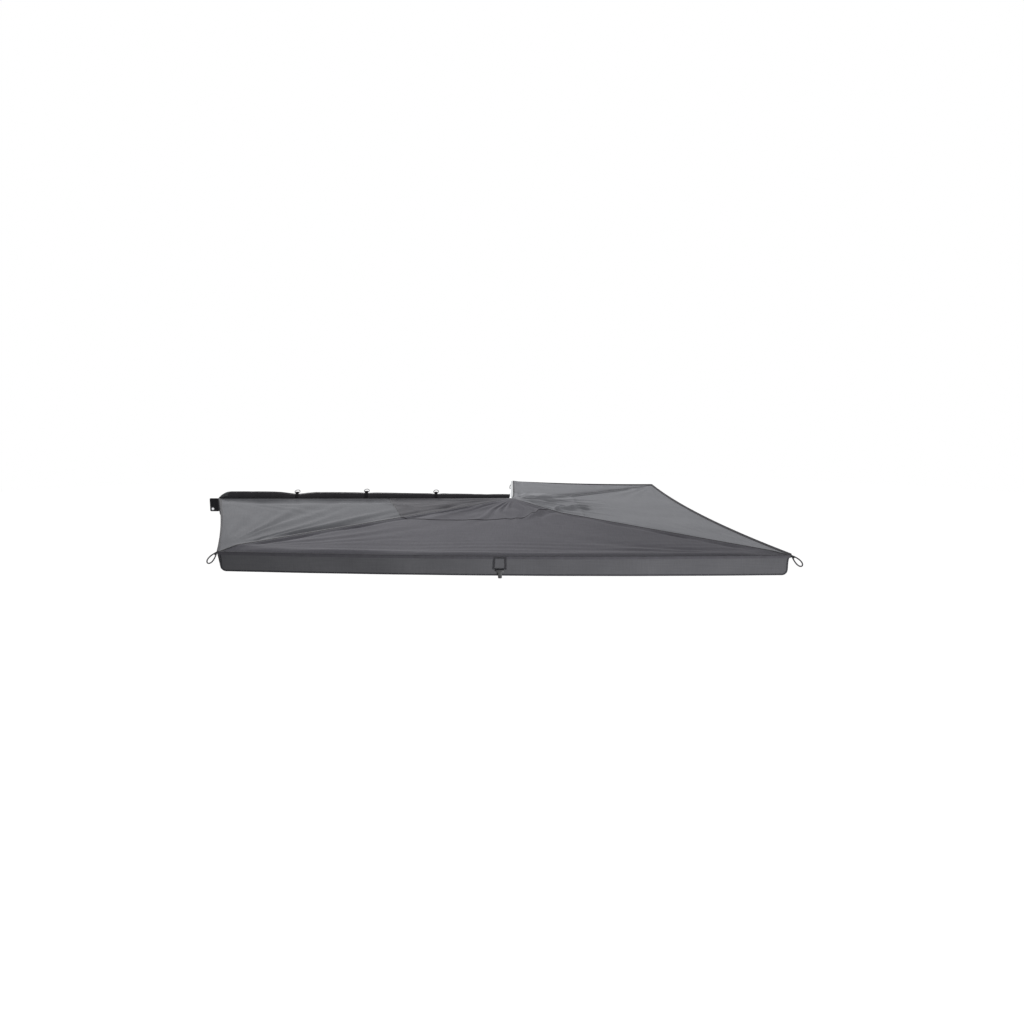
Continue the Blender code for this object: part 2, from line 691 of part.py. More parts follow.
def line_to_swing(lane):
    """Places a point of an arm's sloping line in the frame that swings on the pivot."""
    down, level = math.sin(SLOPE), math.cos(SLOPE)
    return lambda x, y, z: (x * level + z * down, lane + y, arm_bow(0) + z * level - x * down)


swings = []
for index, (turn, lane) in enumerate(zip(ARM_DEG, LANES)):
    number = index + 1
    swing = add_empty(f"arm_{number}_swing_axis", awning, (0, 0, 0), (0, 0, math.radians(turn)))
    swings.append(swing)
    line = add_empty(f"arm_{number}_line", swing, (0, lane, arm_bow(0)), (0, SLOPE, 0))
    half_y, half_z = ARM_WIDTH / 2, ARM_HEIGHT / 2
    tube_start = HEAD_START + HEAD_LENGTH
    inside_y, inside_z = half_y - ARM_WALL - GAP, half_z - ARM_WALL - GAP
    leans = line_to_swing(lane)

    shape = bmesh.new()
    outer = soft_rectangle(half_y, -half_z, half_z, ARM_EDGE)
    hollow = rectangle(-half_y + ARM_WALL, -half_z + ARM_WALL, half_y - ARM_WALL, half_z - ARM_WALL)
    prism(shape, outer, [hollow], tube_start + GAP, ARM_END - GAP, along_x)
    add_mesh(f"arm_{number}_tube", shape, "anodised aluminium", line)

    shape = bmesh.new()
    box(shape, (HEAD_START, -half_y, -half_z), (tube_start, half_y, half_z), leans)
    knuckle = add_mesh(f"arm_{number}_knuckle", shape, "powder coated steel", swing)
    spigot = bmesh.new()
    low_end, high_end = tube_start - HEAD_LENGTH / 3, tube_start + SPIGOT_LENGTH
    box(spigot, (low_end, -inside_y, -inside_z), (high_end, inside_y, inside_z), leans)
    combine(knuckle, spigot, "powder coated steel", "UNION")
    low = HUB_PLATE_LOW - (index + 1) * (LEAF + GAP)
    leaf = bmesh.new()
    boss = circle(0, 0, LEAF_BOSS_RADIUS)
    elbow = circle(LEAF_ELBOW_ALONG, lane, LEAF_ELBOW_RADIUS, SMALL_SIDES)
    hull = boss + elbow
    outline = [hull[i] for i in convex_hull_2d([Vector(point) for point in hull])]
    prism(leaf, outline, [circle(0, 0, BUSH_RADIUS + PIN_GAP)], low, low + LEAF, along_z)
    combine(knuckle, leaf, "powder coated steel", "UNION")
    neck = bmesh.new()
    neck_half = half_y - NECK_INSET
    low_end, high_end = LEAF_ELBOW_ALONG - NECK_LAP, HEAD_START + NECK_LAP
    box(neck, (low_end, lane - neck_half, low), (high_end, lane + neck_half, low + LEAF))
    combine(knuckle, neck, "powder coated steel", "UNION")

    shape = bmesh.new()
    nose_end = ARM_END + NOSE_LENGTH
    nose_top = half_z - NOSE_LENGTH * NOSE_FALL
    shoulder = nose_top + NOSE_ROUND * NOSE_FALL
    blunt = soft_rectangle(half_y - NOSE_ROUND, -half_z + NOSE_ROUND, nose_top - NOSE_ROUND, ARM_EDGE)
    nose = (
        (ARM_END, outer),
        (nose_end - NOSE_ROUND, soft_rectangle(half_y, -half_z, shoulder, ARM_EDGE)),
        (nose_end, blunt),
    )
    loft(shape, [[(x, y, z) for y, z in section] for x, section in nose])
    tip = add_mesh(f"arm_{number}_tip", shape, "moulded nylon", line)
    plug = bmesh.new()
    box(plug, (ARM_END - SPIGOT_LENGTH, -inside_y, -inside_z), (ARM_END + TIP_PLUG_LAP, inside_y, inside_z))
    combine(tip, plug, "moulded nylon", "UNION")
    if number in LEG_ARMS:
        gap_half = LEG_TONGUE / 2 + 2 * GAP
        for way in (-1, 1):
            lug = bmesh.new()
            lug_top = -half_z + LEG_LUG_INTO_TIP
            lug_outline = [(LEG_HINGE_ALONG - LEG_LUG_RADIUS, lug_top)]
            lug_outline += circle(LEG_HINGE_ALONG, -LEG_DROP, LEG_LUG_RADIUS, 9, math.pi, math.pi)
            lug_outline += [(LEG_HINGE_ALONG + LEG_LUG_RADIUS, lug_top)]
            hole = circle(LEG_HINGE_ALONG, -LEG_DROP, LEG_PIN_RADIUS + PIN_GAP, SMALL_SIDES)
            near_face, far_face = sorted((way * gap_half, way * half_y))
            prism(lug, lug_outline, [hole], near_face, far_face, along_y)
            combine(tip, lug, "moulded nylon", "UNION")


# Legs: each hangs from its arm's tip on a pin and lies along the arm's underside
def on_leg(x, y, z):
    """From a leg's own frame, with x running from the hinge towards its foot, to the arm's line."""
    return (LEG_HINGE_ALONG - z, x, y - LEG_DROP)


for number, arm in enumerate(LEG_ARMS, 1):
    index = arm - 1
    line = add_empty(f"leg_{number}_line", swings[index], (0, LANES[index], arm_bow(0)), (0, SLOPE, 0))

    shape = bmesh.new()
    ends = ARM_WIDTH / 2 - LEG_PIN_SHORT
    profile = [(0, -ends), (LEG_PIN_RADIUS, -ends), (LEG_PIN_RADIUS, ends), (0, ends)]
    turned(shape, profile, SMALL_SIDES, lambda u, v, w: (LEG_HINGE_ALONG + u, w, v - LEG_DROP))
    add_mesh(f"leg_{number}_hinge_pin", shape, "zinc plated steel", line)

    shape = bmesh.new()
    bore = LEG_OUTER_RADIUS - LEG_OUTER_WALL
    outer_end = LEG_OUTER_START + LEG_OUTER_LENGTH
    profile = [
        (0, LEG_OUTER_START),
        (LEG_OUTER_RADIUS, LEG_OUTER_START),
        (LEG_OUTER_RADIUS, outer_end),
        (bore, outer_end),
        (bore, LEG_OUTER_START + LEG_PLUG),
        (0, LEG_OUTER_START + LEG_PLUG),
    ]
    turned(shape, profile, ROUND_SIDES, on_leg)
    outer_tube = add_mesh(f"leg_{number}_outer_tube", shape, "anodised aluminium", line)
    tongue = bmesh.new()
    high = LEG_TONGUE_HEIGHT / 2
    outline = circle(0, 0, high, 9, math.pi, math.pi)
    root = LEG_OUTER_START + LEG_TONGUE_ROOT
    outline += [(high, root), (-high, root)]
    eye = circle(0, 0, LEG_PIN_RADIUS + PIN_GAP, SMALL_SIDES)
    half = LEG_TONGUE / 2
    prism(tongue, outline, [eye], -half, half, lambda u, v, w: (LEG_HINGE_ALONG - v, w, u - LEG_DROP))
    combine(outer_tube, tongue, "anodised aluminium", "UNION")

    inner_start = outer_end - LEG_INNER_OVERLAP
    inner_end = outer_end + LEG_INNER_SHOWS
    shape = bmesh.new()
    hollow = LEG_INNER_RADIUS - LEG_INNER_WALL
    profile = [(hollow, inner_start), (LEG_INNER_RADIUS, inner_start)]
    profile += [(LEG_INNER_RADIUS, inner_end), (hollow, inner_end)]
    turned(shape, profile, ROUND_SIDES, on_leg)
    add_mesh(f"leg_{number}_inner_tube", shape, "anodised aluminium", line)

    shape = bmesh.new()
    collar_start = outer_end - COLLAR_LENGTH + COLLAR_LIP
    collar_end = outer_end + COLLAR_LIP
    around, throat = LEG_OUTER_RADIUS + PIN_GAP, LEG_INNER_RADIUS + PIN_GAP
    profile = [
        (around, collar_start),
        (COLLAR_RADIUS - COLLAR_CHAMFER / 2, collar_start),
        (COLLAR_RADIUS, collar_start + COLLAR_CHAMFER),
        (COLLAR_RADIUS, collar_end - 2 * COLLAR_CHAMFER),
        (COLLAR_RADIUS - COLLAR_CHAMFER, collar_end),
        (throat, collar_end),
        (throat, outer_end + GAP),
        (around, outer_end + GAP),
    ]
    turned(shape, profile, ROUND_SIDES, on_leg)
    add_mesh(f"leg_{number}_collar", shape, "moulded nylon", line)

    shape = bmesh.new()
    cup = inner_end + GAP
    profile = [
        (0, cup),
        (LEG_INNER_RADIUS + PIN_GAP, cup),
        (LEG_INNER_RADIUS + PIN_GAP, inner_end - FOOT_UP),
        (FOOT_RADIUS - FOOT_CHAMFER / 2, inner_end - FOOT_UP),
        (FOOT_RADIUS, inner_end + FOOT_TOE - FOOT_CHAMFER),
        (FOOT_RADIUS - FOOT_CHAMFER, inner_end + FOOT_TOE),
        (0, inner_end + FOOT_TOE),
    ]
    turned(shape, profile, ROUND_SIDES, on_leg)
    add_mesh(f"leg_{number}_foot", shape, "rubber", line)


# Canopy: four panels whose edges follow the rail and the arms
def arm_seam(index, share, aside):
    """A point on an arm's seam at a share of the reach, moved aside along the lanes."""
    lane = LANES[index]
    length = math.sqrt(REACH**2 - lane**2)
    along = share * length
    over = ARM_HEIGHT / 2 / math.cos(SLOPE) + CLOTH_OVER_ARM + CLOTH
    on_arm = min(share / TOUCH_SHARE, 1)
    z = PEAK_HEIGHT * (1 - on_arm) + (arm_bow(TOUCH_SHARE * length) + over) * on_arm
    if share > TOUCH_SHARE:
        z = arm_bow(along) + over
    end = (share - ARM_END_SHARE) / (1 - ARM_END_SHARE)
    if end > 0:
        z += (PEAK_HEIGHT - CORNER_DROP[index] - arm_bow(length) - over) * end
    turn = Matrix.Rotation(math.radians(ARM_DEG[index]), 3, "Z")
    point = turn @ Vector((along, lane * on_arm + aside, 0))
    return Vector((point.x, point.y, z))


def rail_seam(share):
    """A point on the canopy's edge along the rail, from the hub outwards."""
    x = -share * RAIL_END
    run = min(-x / CLOTH_EDGE_TURN, 1)
    return Vector((x, CLOTH_EDGE_FRONT * run, PEAK_HEIGHT - CLOTH_EDGE_DROP * run))


def far_edge(panel, share):
    """How far a panel's second edge stays from the middle of its arm."""
    return LAST_ARM_EDGE * min(share / TOUCH_SHARE, 1) if panel == 3 else SEAM_GAP / 2


def panel_edges(panel):
    """The two seams of a panel, as functions of the share of the reach."""
    if panel == 0:
        first = rail_seam
    else:
        first = lambda share: arm_seam(panel - 1, share, SEAM_GAP / 2)
    return first, lambda share: arm_seam(panel, share, -far_edge(panel, share))


def hem_point(panel, across):
    """A point on a panel's outer edge, cut in and sagging between its corners."""
    first, second = panel_edges(panel)
    one, two = first(1.0), second(1.0)
    bow = 4 * across * (1 - across)
    chord = one.lerp(two, across)
    inward = Vector((-(one + two).x, -(one + two).y, 0)).normalized()
    return chord + inward * EDGE_CUT[panel] * bow - Vector((0, 0, EDGE_SAG[panel] * bow))


def panel_point(panel, share, across):
    """A point on a panel's upper face, out from the hub by share and round from its first seam by across."""
    first, second = panel_edges(panel)
    one, two = first(share), second(share)
    flat_one, flat_two = first(1.0) * share, second(1.0) * share
    outer = hem_point(panel, across) * share
    point = (one - flat_one) * (1 - across) + (two - flat_two) * across + outer
    peak = PEAK_HEIGHT * (1 - share)
    straight = hem_point(panel, across).z * share + peak
    lift_one = one.z - (first(1.0).z * share + peak)
    lift_two = two.z - (second(1.0).z * share + peak)
    z = straight + lift_one * (1 - across) ** RIDGE_FALL_OFF + lift_two * across**RIDGE_FALL_OFF
    return Vector((point.x, point.y, z))


def panel_row(panel, share):
    """The points of a panel round the hub at a share of the reach, with the cloth flat over each arm."""
    start, end = CORNER_DEG[panel - 1] if panel else 180, CORNER_DEG[panel]
    width = REACH * math.sin(math.radians(end - start))
    beside = min(ARM_WIDTH / 2 + CLOTH_BEYOND_ARM, 0.8 * share * width / CLOTH_STEPS_ROUND)
    row = [panel_point(panel, share, turn / CLOTH_STEPS_ROUND) for turn in range(CLOTH_STEPS_ROUND + 1)]
    if share < 1:
        near = arm_seam(panel - 1, share, beside) if panel else panel_point(panel, share, beside / width)
        far = arm_seam(panel, share, -beside - far_edge(panel, share))
    else:
        near, far = (hem_point(panel, side) for side in (CORNER_COVER / width, 1 - CORNER_COVER / width))
    return [row[0], near, *row[1:-1], far, row[-1]]


inner, touch, last = HUB_HOLE / REACH, TOUCH_SHARE, ARM_END_SHARE
cloth_rows = [inner + (touch - inner) * step / HUB_STEPS for step in range(HUB_STEPS)]
cloth_rows += [touch + (last - touch) * step / CLOTH_STEPS_OUT for step in range(CLOTH_STEPS_OUT + 1)]
cloth_rows.append(1.0)
finishes = ("canopy cloth", "front canopy cloth", "canopy cloth", "canopy cloth")
for panel in range(4):
    rows = [panel_row(panel, share) for share in cloth_rows]
    shape = bmesh.new()
    shell(shape, rows, lambda point: Vector((0, 0, -CLOTH)))
    add_mesh(f"canopy_panel_{panel + 1}", shape, finishes[panel], awning)

# Valances: they hang from the canopy's outer edges
for panel in range(4):
    one, two = hem_point(panel, 0), hem_point(panel, 1)
    outward = Vector(((one + two).x, (one + two).y, 0)).normalized()
    length = (two - one).length
    rows = []
    for down in range(VALANCE_STEPS_DOWN + 1):
        fall = down / VALANCE_STEPS_DOWN
        inset = (GAP * 8 + VALANCE_END_ROUND * fall**4) / length
        row = []
        for turn in range(CLOTH_STEPS_ROUND + 1):
            across = inset + (1 - 2 * inset) * turn / CLOTH_STEPS_ROUND
            point = hem_point(panel, across) + outward * GAP * 2
            row.append(point + Vector((0, 0, -VALANCE_HEIGHT * fall)))
        rows.append(row)
    shape = bmesh.new()
    shell(shape, rows, lambda point: outward * VALANCE_THICKNESS)
    add_mesh(f"valance_{panel + 1}", shape, "valance cloth", awning)

# Cord loops, sewn to the canopy's corners past the arm tips
for index in range(4):
    corner_at = hem_point(index, 1)
    out = Vector((corner_at.x, corner_at.y, 0)).normalized()
    fall = math.radians(LOOP_FALL_DEG[index])
    down = Vector((0, 0, -1))
    run = out * math.cos(fall) + down * math.sin(fall)
    side = out * math.sin(fall) - down * math.cos(fall)
    start = corner_at + out * (LOOP_CORD - LOOP_SEAT) + down * CLOTH / 2
    points = []
    for step in range(LOOP_STEPS):
        angle = 2 * math.pi * step / LOOP_STEPS
        reach = (1 - math.cos(angle)) / 2
        width = math.sin(angle) * math.sqrt(reach) * (LOOP_WIDTH / 2 - LOOP_CORD) / LOOP_WIDEST
        points.append(start + run * (LOOP_LENGTH - 2 * LOOP_CORD) * reach + side * width)
    add_tube(f"corner_loop_{index + 1}", points, LOOP_CORD, True, "black cord", awning)

# Bail of webbing at the middle of the front hem, with its toggle
middle = hem_point(1, 0.5)
one, two = hem_point(1, 0), hem_point(1, 1)
outward = Vector(((one + two).x, (one + two).y, 0)).normalized()
bail_turn = math.atan2(outward.y, outward.x) + math.pi / 2
bail_at = middle + outward * (GAP * 4 + VALANCE_THICKNESS)
bail_swing = add_empty("bail_swing_axis", awning)
bail_frame = add_empty("bail_frame", bail_swing, bail_at, (0, 0, bail_turn))
half = BAIL_WIDTH / 2
outline = [
    (-half, 0),
    (-half - BAIL_SPLAY, -BAIL_HEIGHT),
    (-half - BAIL_SPLAY + BAIL_WEBBING_WIDTH, -BAIL_HEIGHT),
    (-half + BAIL_WEBBING_WIDTH, -BAIL_WEBBING_WIDTH),
    (half - BAIL_WEBBING_WIDTH, -BAIL_WEBBING_WIDTH),
    (half - BAIL_WEBBING_WIDTH, -BAIL_HEIGHT),
    (half, -BAIL_HEIGHT),
    (half, 0),
]
shape = bmesh.new()
prism(shape, outline, [], -BAIL_WEBBING, 0, along_y)
add_mesh("front_bail", shape, "black webbing", bail_frame)

bar_top = -BAIL_HEIGHT - GAP
bar, stub = TOGGLE_BAR_WIDTH / 2, TOGGLE_STUB_WIDTH / 2
bar_middle = half - BAIL_WEBBING_WIDTH / 2 - bar
bar_low = bar_top - TOGGLE_BAR_HEIGHT
stub_low = bar_low - TOGGLE_STUB_HEIGHT
outline = [
    (bar_middle - bar, bar_top),
    (bar_middle - bar, bar_low),
    (bar_middle - stub, bar_low - TOGGLE_CORNER),
    (bar_middle - stub, stub_low + TOGGLE_CORNER),
    (bar_middle - stub + TOGGLE_CORNER, stub_low),
    (bar_middle + stub - TOGGLE_CORNER, stub_low),
    (bar_middle + stub, stub_low + TOGGLE_CORNER),
    (bar_middle + stub, bar_low - TOGGLE_CORNER),
    (bar_middle + bar, bar_low),
    (bar_middle + bar, bar_top),
]
shape = bmesh.new()
prism(shape, outline, [], -TOGGLE_THICKNESS, 0, along_y)
add_mesh("bail_toggle", shape, "moulded nylon", bail_frame)
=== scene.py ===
"""Vehicle side awning, opened as a fan: its metal, cloth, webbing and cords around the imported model.

Metres, +Z up, +X along the back rail towards the hub, +Y towards the vehicle.
"""

import json
import math

import bmesh
import bpy
from mathutils import Matrix, Vector, noise

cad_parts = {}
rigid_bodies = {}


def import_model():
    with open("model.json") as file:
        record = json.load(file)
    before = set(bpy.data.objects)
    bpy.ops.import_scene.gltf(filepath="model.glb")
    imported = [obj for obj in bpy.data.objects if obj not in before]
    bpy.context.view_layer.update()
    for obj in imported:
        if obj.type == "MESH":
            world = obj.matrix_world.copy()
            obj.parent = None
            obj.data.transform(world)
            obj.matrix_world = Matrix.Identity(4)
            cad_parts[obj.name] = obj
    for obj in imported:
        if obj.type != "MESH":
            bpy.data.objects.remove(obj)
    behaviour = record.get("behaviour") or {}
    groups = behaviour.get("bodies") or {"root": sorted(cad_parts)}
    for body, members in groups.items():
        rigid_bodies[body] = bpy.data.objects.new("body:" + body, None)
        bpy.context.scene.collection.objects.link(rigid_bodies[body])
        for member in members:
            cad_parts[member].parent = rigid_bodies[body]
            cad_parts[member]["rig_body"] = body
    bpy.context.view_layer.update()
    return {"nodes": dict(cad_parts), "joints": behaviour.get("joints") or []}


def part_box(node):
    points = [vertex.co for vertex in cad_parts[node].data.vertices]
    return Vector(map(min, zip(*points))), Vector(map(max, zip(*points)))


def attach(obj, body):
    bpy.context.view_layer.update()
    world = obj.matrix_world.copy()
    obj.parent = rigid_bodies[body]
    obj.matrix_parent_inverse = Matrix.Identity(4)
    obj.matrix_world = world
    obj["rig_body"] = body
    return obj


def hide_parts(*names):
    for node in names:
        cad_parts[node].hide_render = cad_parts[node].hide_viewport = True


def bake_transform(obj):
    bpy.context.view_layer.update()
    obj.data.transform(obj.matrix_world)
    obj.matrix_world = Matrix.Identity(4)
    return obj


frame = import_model()

# Camera: a photographer stands well back from the front edge, a little above the cloth, and looks
# slightly down along the +Y axis.
camera_data = bpy.data.cameras.new("camera")
camera_data.sensor_width = 36
camera_data.lens = 26.24
camera_data.clip_end = 200
camera = bpy.data.objects.new("camera", camera_data)
bpy.context.collection.objects.link(camera)
camera.location = (0.350, -5.582, 0.812)
camera.rotation_euler = (math.radians(90 - 8.793), 0, 0)
bpy.context.scene.camera = camera
bpy.context.scene.view_settings.view_transform = "Standard"


# Studio: a pale painted floor well below the awning, a white surround, one big soft lamp high behind
# the fan that rakes its folds, and a weak one in front, below the hems, that lights the valances.
def add_node(tree, kind, inputs=None, **settings):
    """Adds a node with its settings; inputs gives a value or another node's output to each socket."""
    made = tree.nodes.new(kind)
    for field, value in settings.items():
        setattr(made, field, value)
    for socket, value in (inputs or {}).items():
        if isinstance(value, bpy.types.NodeSocket):
            tree.links.new(value, made.inputs[socket])
        else:
            made.inputs[socket].default_value = value
    return made


def linear(text):
    """An sRGB hex colour as the linear colour that a shader takes."""
    found = []
    for at in (0, 2, 4):
        value = int(text[at : at + 2], 16) / 255
        found.append(value / 12.92 if value <= 0.04045 else ((value + 0.055) / 1.055) ** 2.4)
    return (*found, 1.0)


def seen_directly(tree):
    """One for a ray from the camera, or in a mirror or a pane, and nought for a ray of light."""
    path = add_node(tree, "ShaderNodeLightPath")
    eye = path.outputs["Is Camera Ray"]
    for way in ("Is Glossy Ray", "Is Transmission Ray"):
        both = {0: eye, 1: path.outputs[way]}
        eye = add_node(tree, "ShaderNodeMath", both, operation="MAXIMUM").outputs[0]
    return eye


ambient = 0.35
world = bpy.data.worlds.new("surround")
bpy.context.scene.world = world
world.use_nodes = True
tree = world.node_tree
tree.nodes.clear()
white = add_node(tree, "ShaderNodeBackground", {"Color": (1, 1, 1, 1), "Strength": 1.0})
light = add_node(tree, "ShaderNodeBackground", {"Color": (1, 1, 1, 1), "Strength": ambient})
parts = {0: seen_directly(tree), 1: light.outputs[0], 2: white.outputs[0]}
mixed = add_node(tree, "ShaderNodeMixShader", parts)
add_node(tree, "ShaderNodeOutputWorld", {"Surface": mixed.outputs[0]})

floor_height, floor_radius, floor_glow = -6.0, 60, 0.75
shape = bmesh.new()
bmesh.ops.create_circle(shape, cap_ends=True, radius=floor_radius, segments=96)
floor_mesh = bpy.data.meshes.new("studio_floor")
shape.to_mesh(floor_mesh)
shape.free()
floor = bpy.data.objects.new("studio_floor", floor_mesh)
bpy.context.collection.objects.link(floor)
floor.location = (0, 0, floor_height)
paint = bpy.data.materials.new("matt_floor_paint")
paint.use_nodes = True
tree = paint.node_tree
tree.nodes.clear()
matt = add_node(tree, "ShaderNodeBsdfDiffuse", {"Color": linear("e8e8e8")})
seen = add_node(tree, "ShaderNodeMath", {0: seen_directly(tree), 1: floor_glow}, operation="MULTIPLY")
glow = add_node(tree, "ShaderNodeEmission", {"Color": (1, 1, 1, 1), "Strength": seen.outputs[0]})
both = add_node(tree, "ShaderNodeAddShader", {0: matt.outputs[0], 1: glow.outputs[0]})
add_node(tree, "ShaderNodeOutputMaterial", {"Surface": both.outputs[0]})
floor_mesh.materials.append(paint)


def add_lamp(name, at, aim, size, power, spread_deg):
    """A round soft lamp at a place, aimed at another, with its size in metres and power in watts."""
    data = bpy.data.lights.new(name, "AREA")
    data.spread = math.radians(spread_deg)
    data.shape = "DISK"
    data.size = size
    data.energy = power
    lamp = bpy.data.objects.new(name, data)
    bpy.context.collection.objects.link(lamp)
    lamp.location = at
    lamp.rotation_euler = (Vector(aim) - Vector(at)).to_track_quat("-Z", "Y").to_euler()


add_lamp("high_back_lamp", (-4.0, 8.5, 5.2), (0.2, -0.4, 0), 3.0, 540, 180)
add_lamp("low_front_lamp", (3.0, -5.5, -1.7), (0.95, -1.7, -0.1), 1.6, 46, 62)


# Metal parts: the rail, arms and leg tubes are anodised aluminium extrusions, drawn through a die
# that leaves faint lines along them. Brackets, hub plates and knuckles are bent or cast steel with
# a black powder coat, and bolts, pins and rings are zinc plated.
def new_material(name, roughness, metallic=0.0, specular=0.5, sheen=0.0):
    """A material with its shader's constant values set."""
    made = bpy.data.materials.new(name)
    made.use_nodes = True
    sockets = made.node_tree.nodes["Principled BSDF"].inputs
    sockets["Roughness"].default_value = roughness
    sockets["Metallic"].default_value = metallic
    sockets["Specular IOR Level"].default_value = specular
    sockets["Sheen Weight"].default_value = sheen
    return made, made.node_tree


def surfaced(made, colour, satin=None, raised=None):
    """Leads a colour to a material's shader, and a range of roughness and a relief where it has them."""
    tree = made.node_tree
    sockets = tree.nodes["Principled BSDF"].inputs
    tree.links.new(colour, sockets["Base Color"])
    if satin:
        tree.links.new(add_node(tree, "ShaderNodeMapRange", satin).outputs[0], sockets["Roughness"])
    if raised:
        tree.links.new(add_node(tree, "ShaderNodeBump", raised).outputs[0], sockets["Normal"])
    return made


def blotched(tree, vector, size, dark, pale, detail=3.0):
    """A colour that wanders between two hex values over patches of a size."""
    patches = add_node(tree, "ShaderNodeTexNoise", {"Vector": vector, "Scale": 1 / size, "Detail": detail})
    ramp = add_node(tree, "ShaderNodeValToRGB", {"Fac": patches.outputs["Fac"]})
    ramp.color_ramp.elements[0].position = 0.3
    ramp.color_ramp.elements[0].color = linear(dark)
    ramp.color_ramp.elements[1].position = 0.7
    ramp.color_ramp.elements[1].color = linear(pale)
    return ramp.outputs["Color"]


def anodised_aluminium():
    """Satin anodising: a pale grey metal whose die lines, drawn 2 mm apart so that they show, run level."""
    made, tree = new_material("anodised_aluminium", 0.38, 1.0)
    place = add_node(tree, "ShaderNodeTexCoord").outputs["Object"]
    colour = blotched(tree, place, 0.20, "b2b4b6", "c0c2c4")
    lines = add_node(tree, "ShaderNodeMapping", {"Vector": place, "Scale": (3, 3, 1 / 0.002)})
    drawn = add_node(tree, "ShaderNodeTexNoise", {"Vector": lines.outputs[0], "Scale": 1.0, "Detail": 2.0})
    satin = {"Value": drawn.outputs["Fac"], "To Min": 0.30, "To Max": 0.46}
    raised = {"Height": drawn.outputs["Fac"], "Strength": 0.15, "Distance": 0.0002}
    return surfaced(made, colour, satin, raised)


def powder_coated_steel():
    """Black polyester powder, baked on: an even satin skin with a fine orange peel 3 mm across."""
    made, tree = new_material("powder_coated_steel", 0.45)
    place = add_node(tree, "ShaderNodeTexCoord").outputs["Object"]
    colour = blotched(tree, place, 0.05, "202023", "262629")
    peel = add_node(tree, "ShaderNodeTexNoise", {"Vector": place, "Scale": 1 / 0.003, "Detail": 2.0})
    raised = {"Height": peel.outputs["Fac"], "Strength": 0.25, "Distance": 0.0003}
    return surfaced(made, colour, raised=raised)


def zinc_plated_steel():
    """Bright zinc, passivated: cool grey metal, a little clouded, with small dull spots of handling."""
    made, tree = new_material("zinc_plated_steel", 0.35, 1.0)
    place = add_node(tree, "ShaderNodeTexCoord").outputs["Object"]
    colour = blotched(tree, place, 0.012, "9fa1a4", "b4b6b8")
    cloud = add_node(tree, "ShaderNodeTexNoise", {"Vector": place, "Scale": 1 / 0.006, "Detail": 4.0})
    return surfaced(made, colour, {"Value": cloud.outputs["Fac"], "To Min": 0.24, "To Max": 0.48})


def finish_part(name, finish, rounding):
    """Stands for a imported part: the same mesh with its sharp edges rounded, as they leave the shop."""
    node = frame["nodes"][name]
    shape = bmesh.new()
    shape.from_mesh(node.data)
    bmesh.ops.remove_doubles(shape, verts=shape.verts, dist=2e-6)
    bmesh.ops.dissolve_limit(shape, angle_limit=math.radians(1), verts=shape.verts, edges=shape.edges)
    sharp = [edge for edge in shape.edges if edge.is_manifold and edge.calc_face_angle() > math.radians(38)]
    bevel = {"segments": 2, "profile": 0.5, "affect": "EDGES", "clamp_overlap": True}
    bmesh.ops.bevel(shape, geom=sharp, offset=rounding, **bevel)
    mesh = bpy.data.meshes.new(name + "_finished")
    shape.to_mesh(mesh)
    shape.free()
    mesh.shade_smooth()
    mesh.set_sharp_from_angle(angle=math.radians(40))
    mesh.materials.append(finish)
    made = bpy.data.objects.new(name + "_finished", mesh)
    bpy.context.collection.objects.link(made)
    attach(made, node["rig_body"])
    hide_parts(name)


aluminium = anodised_aluminium()
black_steel = powder_coated_steel()
zinc = zinc_plated_steel()
finish_part("back_rail", aluminium, 0.0005)
for arm in (1, 2, 3, 4):
    finish_part(f"arm_{arm}_tube", aluminium, 0.0006)
    finish_part(f"arm_{arm}_knuckle", black_steel, 0.0008)
for leg in (1, 2):
    finish_part(f"leg_{leg}_outer_tube", aluminium, 0.0004)
    finish_part(f"leg_{leg}_inner_tube", aluminium, 0.0003)
    finish_part(f"leg_{leg}_hinge_pin", zinc, 0.0005)
for bracket in (1, 2, 3):
    finish_part(f"rack_bracket_{bracket}", black_steel, 0.0008)
    finish_part(f"bracket_bolt_{bracket}", zinc, 0.0004)
for name in ("hub_top_plate", "hub_bottom_plate"):
    finish_part(name, black_steel, 0.0008)
for name in ("hub_bolt_1", "hub_bolt_2", "pivot_bolt", "pivot_nut"):
    finish_part(name, zinc, 0.0004)


# Moulded parts: glass-filled nylon makes the hub cap, the pivot's bush, the rail's end cap, the
# arm tips and the twist collars, and the feet are black rubber.
def moulded(name, dark, pale, roughness, grain, depth, metallic=0.0):
    """A moulding's skin: near black, with the fine spark-eroded grain of its mould."""
    made, tree = new_material(name, roughness, metallic)
    place = add_node(tree, "ShaderNodeTexCoord").outputs["Object"]
    texture = add_node(tree, "ShaderNodeTexNoise", {"Vector": place, "Scale": 1 / grain, "Detail": 3.0})
    raised = {"Height": texture.outputs["Fac"], "Strength": 0.3, "Distance": depth}
    return surfaced(made, blotched(tree, place, 0.03, dark, pale), raised=raised)


nylon = moulded("glass_filled_nylon", "1b1b1d", "212123", 0.5, 0.0016, 0.0002)
rubber = moulded("black_rubber", "161618", "1c1c1d", 0.8, 0.0030, 0.0004)
for name in ("hub_cap", "pivot_bush", "rail_end_cap", "leg_1_collar", "leg_2_collar"):
    finish_part(name, nylon, 0.0005)
for arm in (1, 2, 3, 4):
    finish_part(f"arm_{arm}_tip", nylon, 0.0008)
for leg in (1, 2):
    finish_part(f"leg_{leg}_foot", rubber, 0.0006)


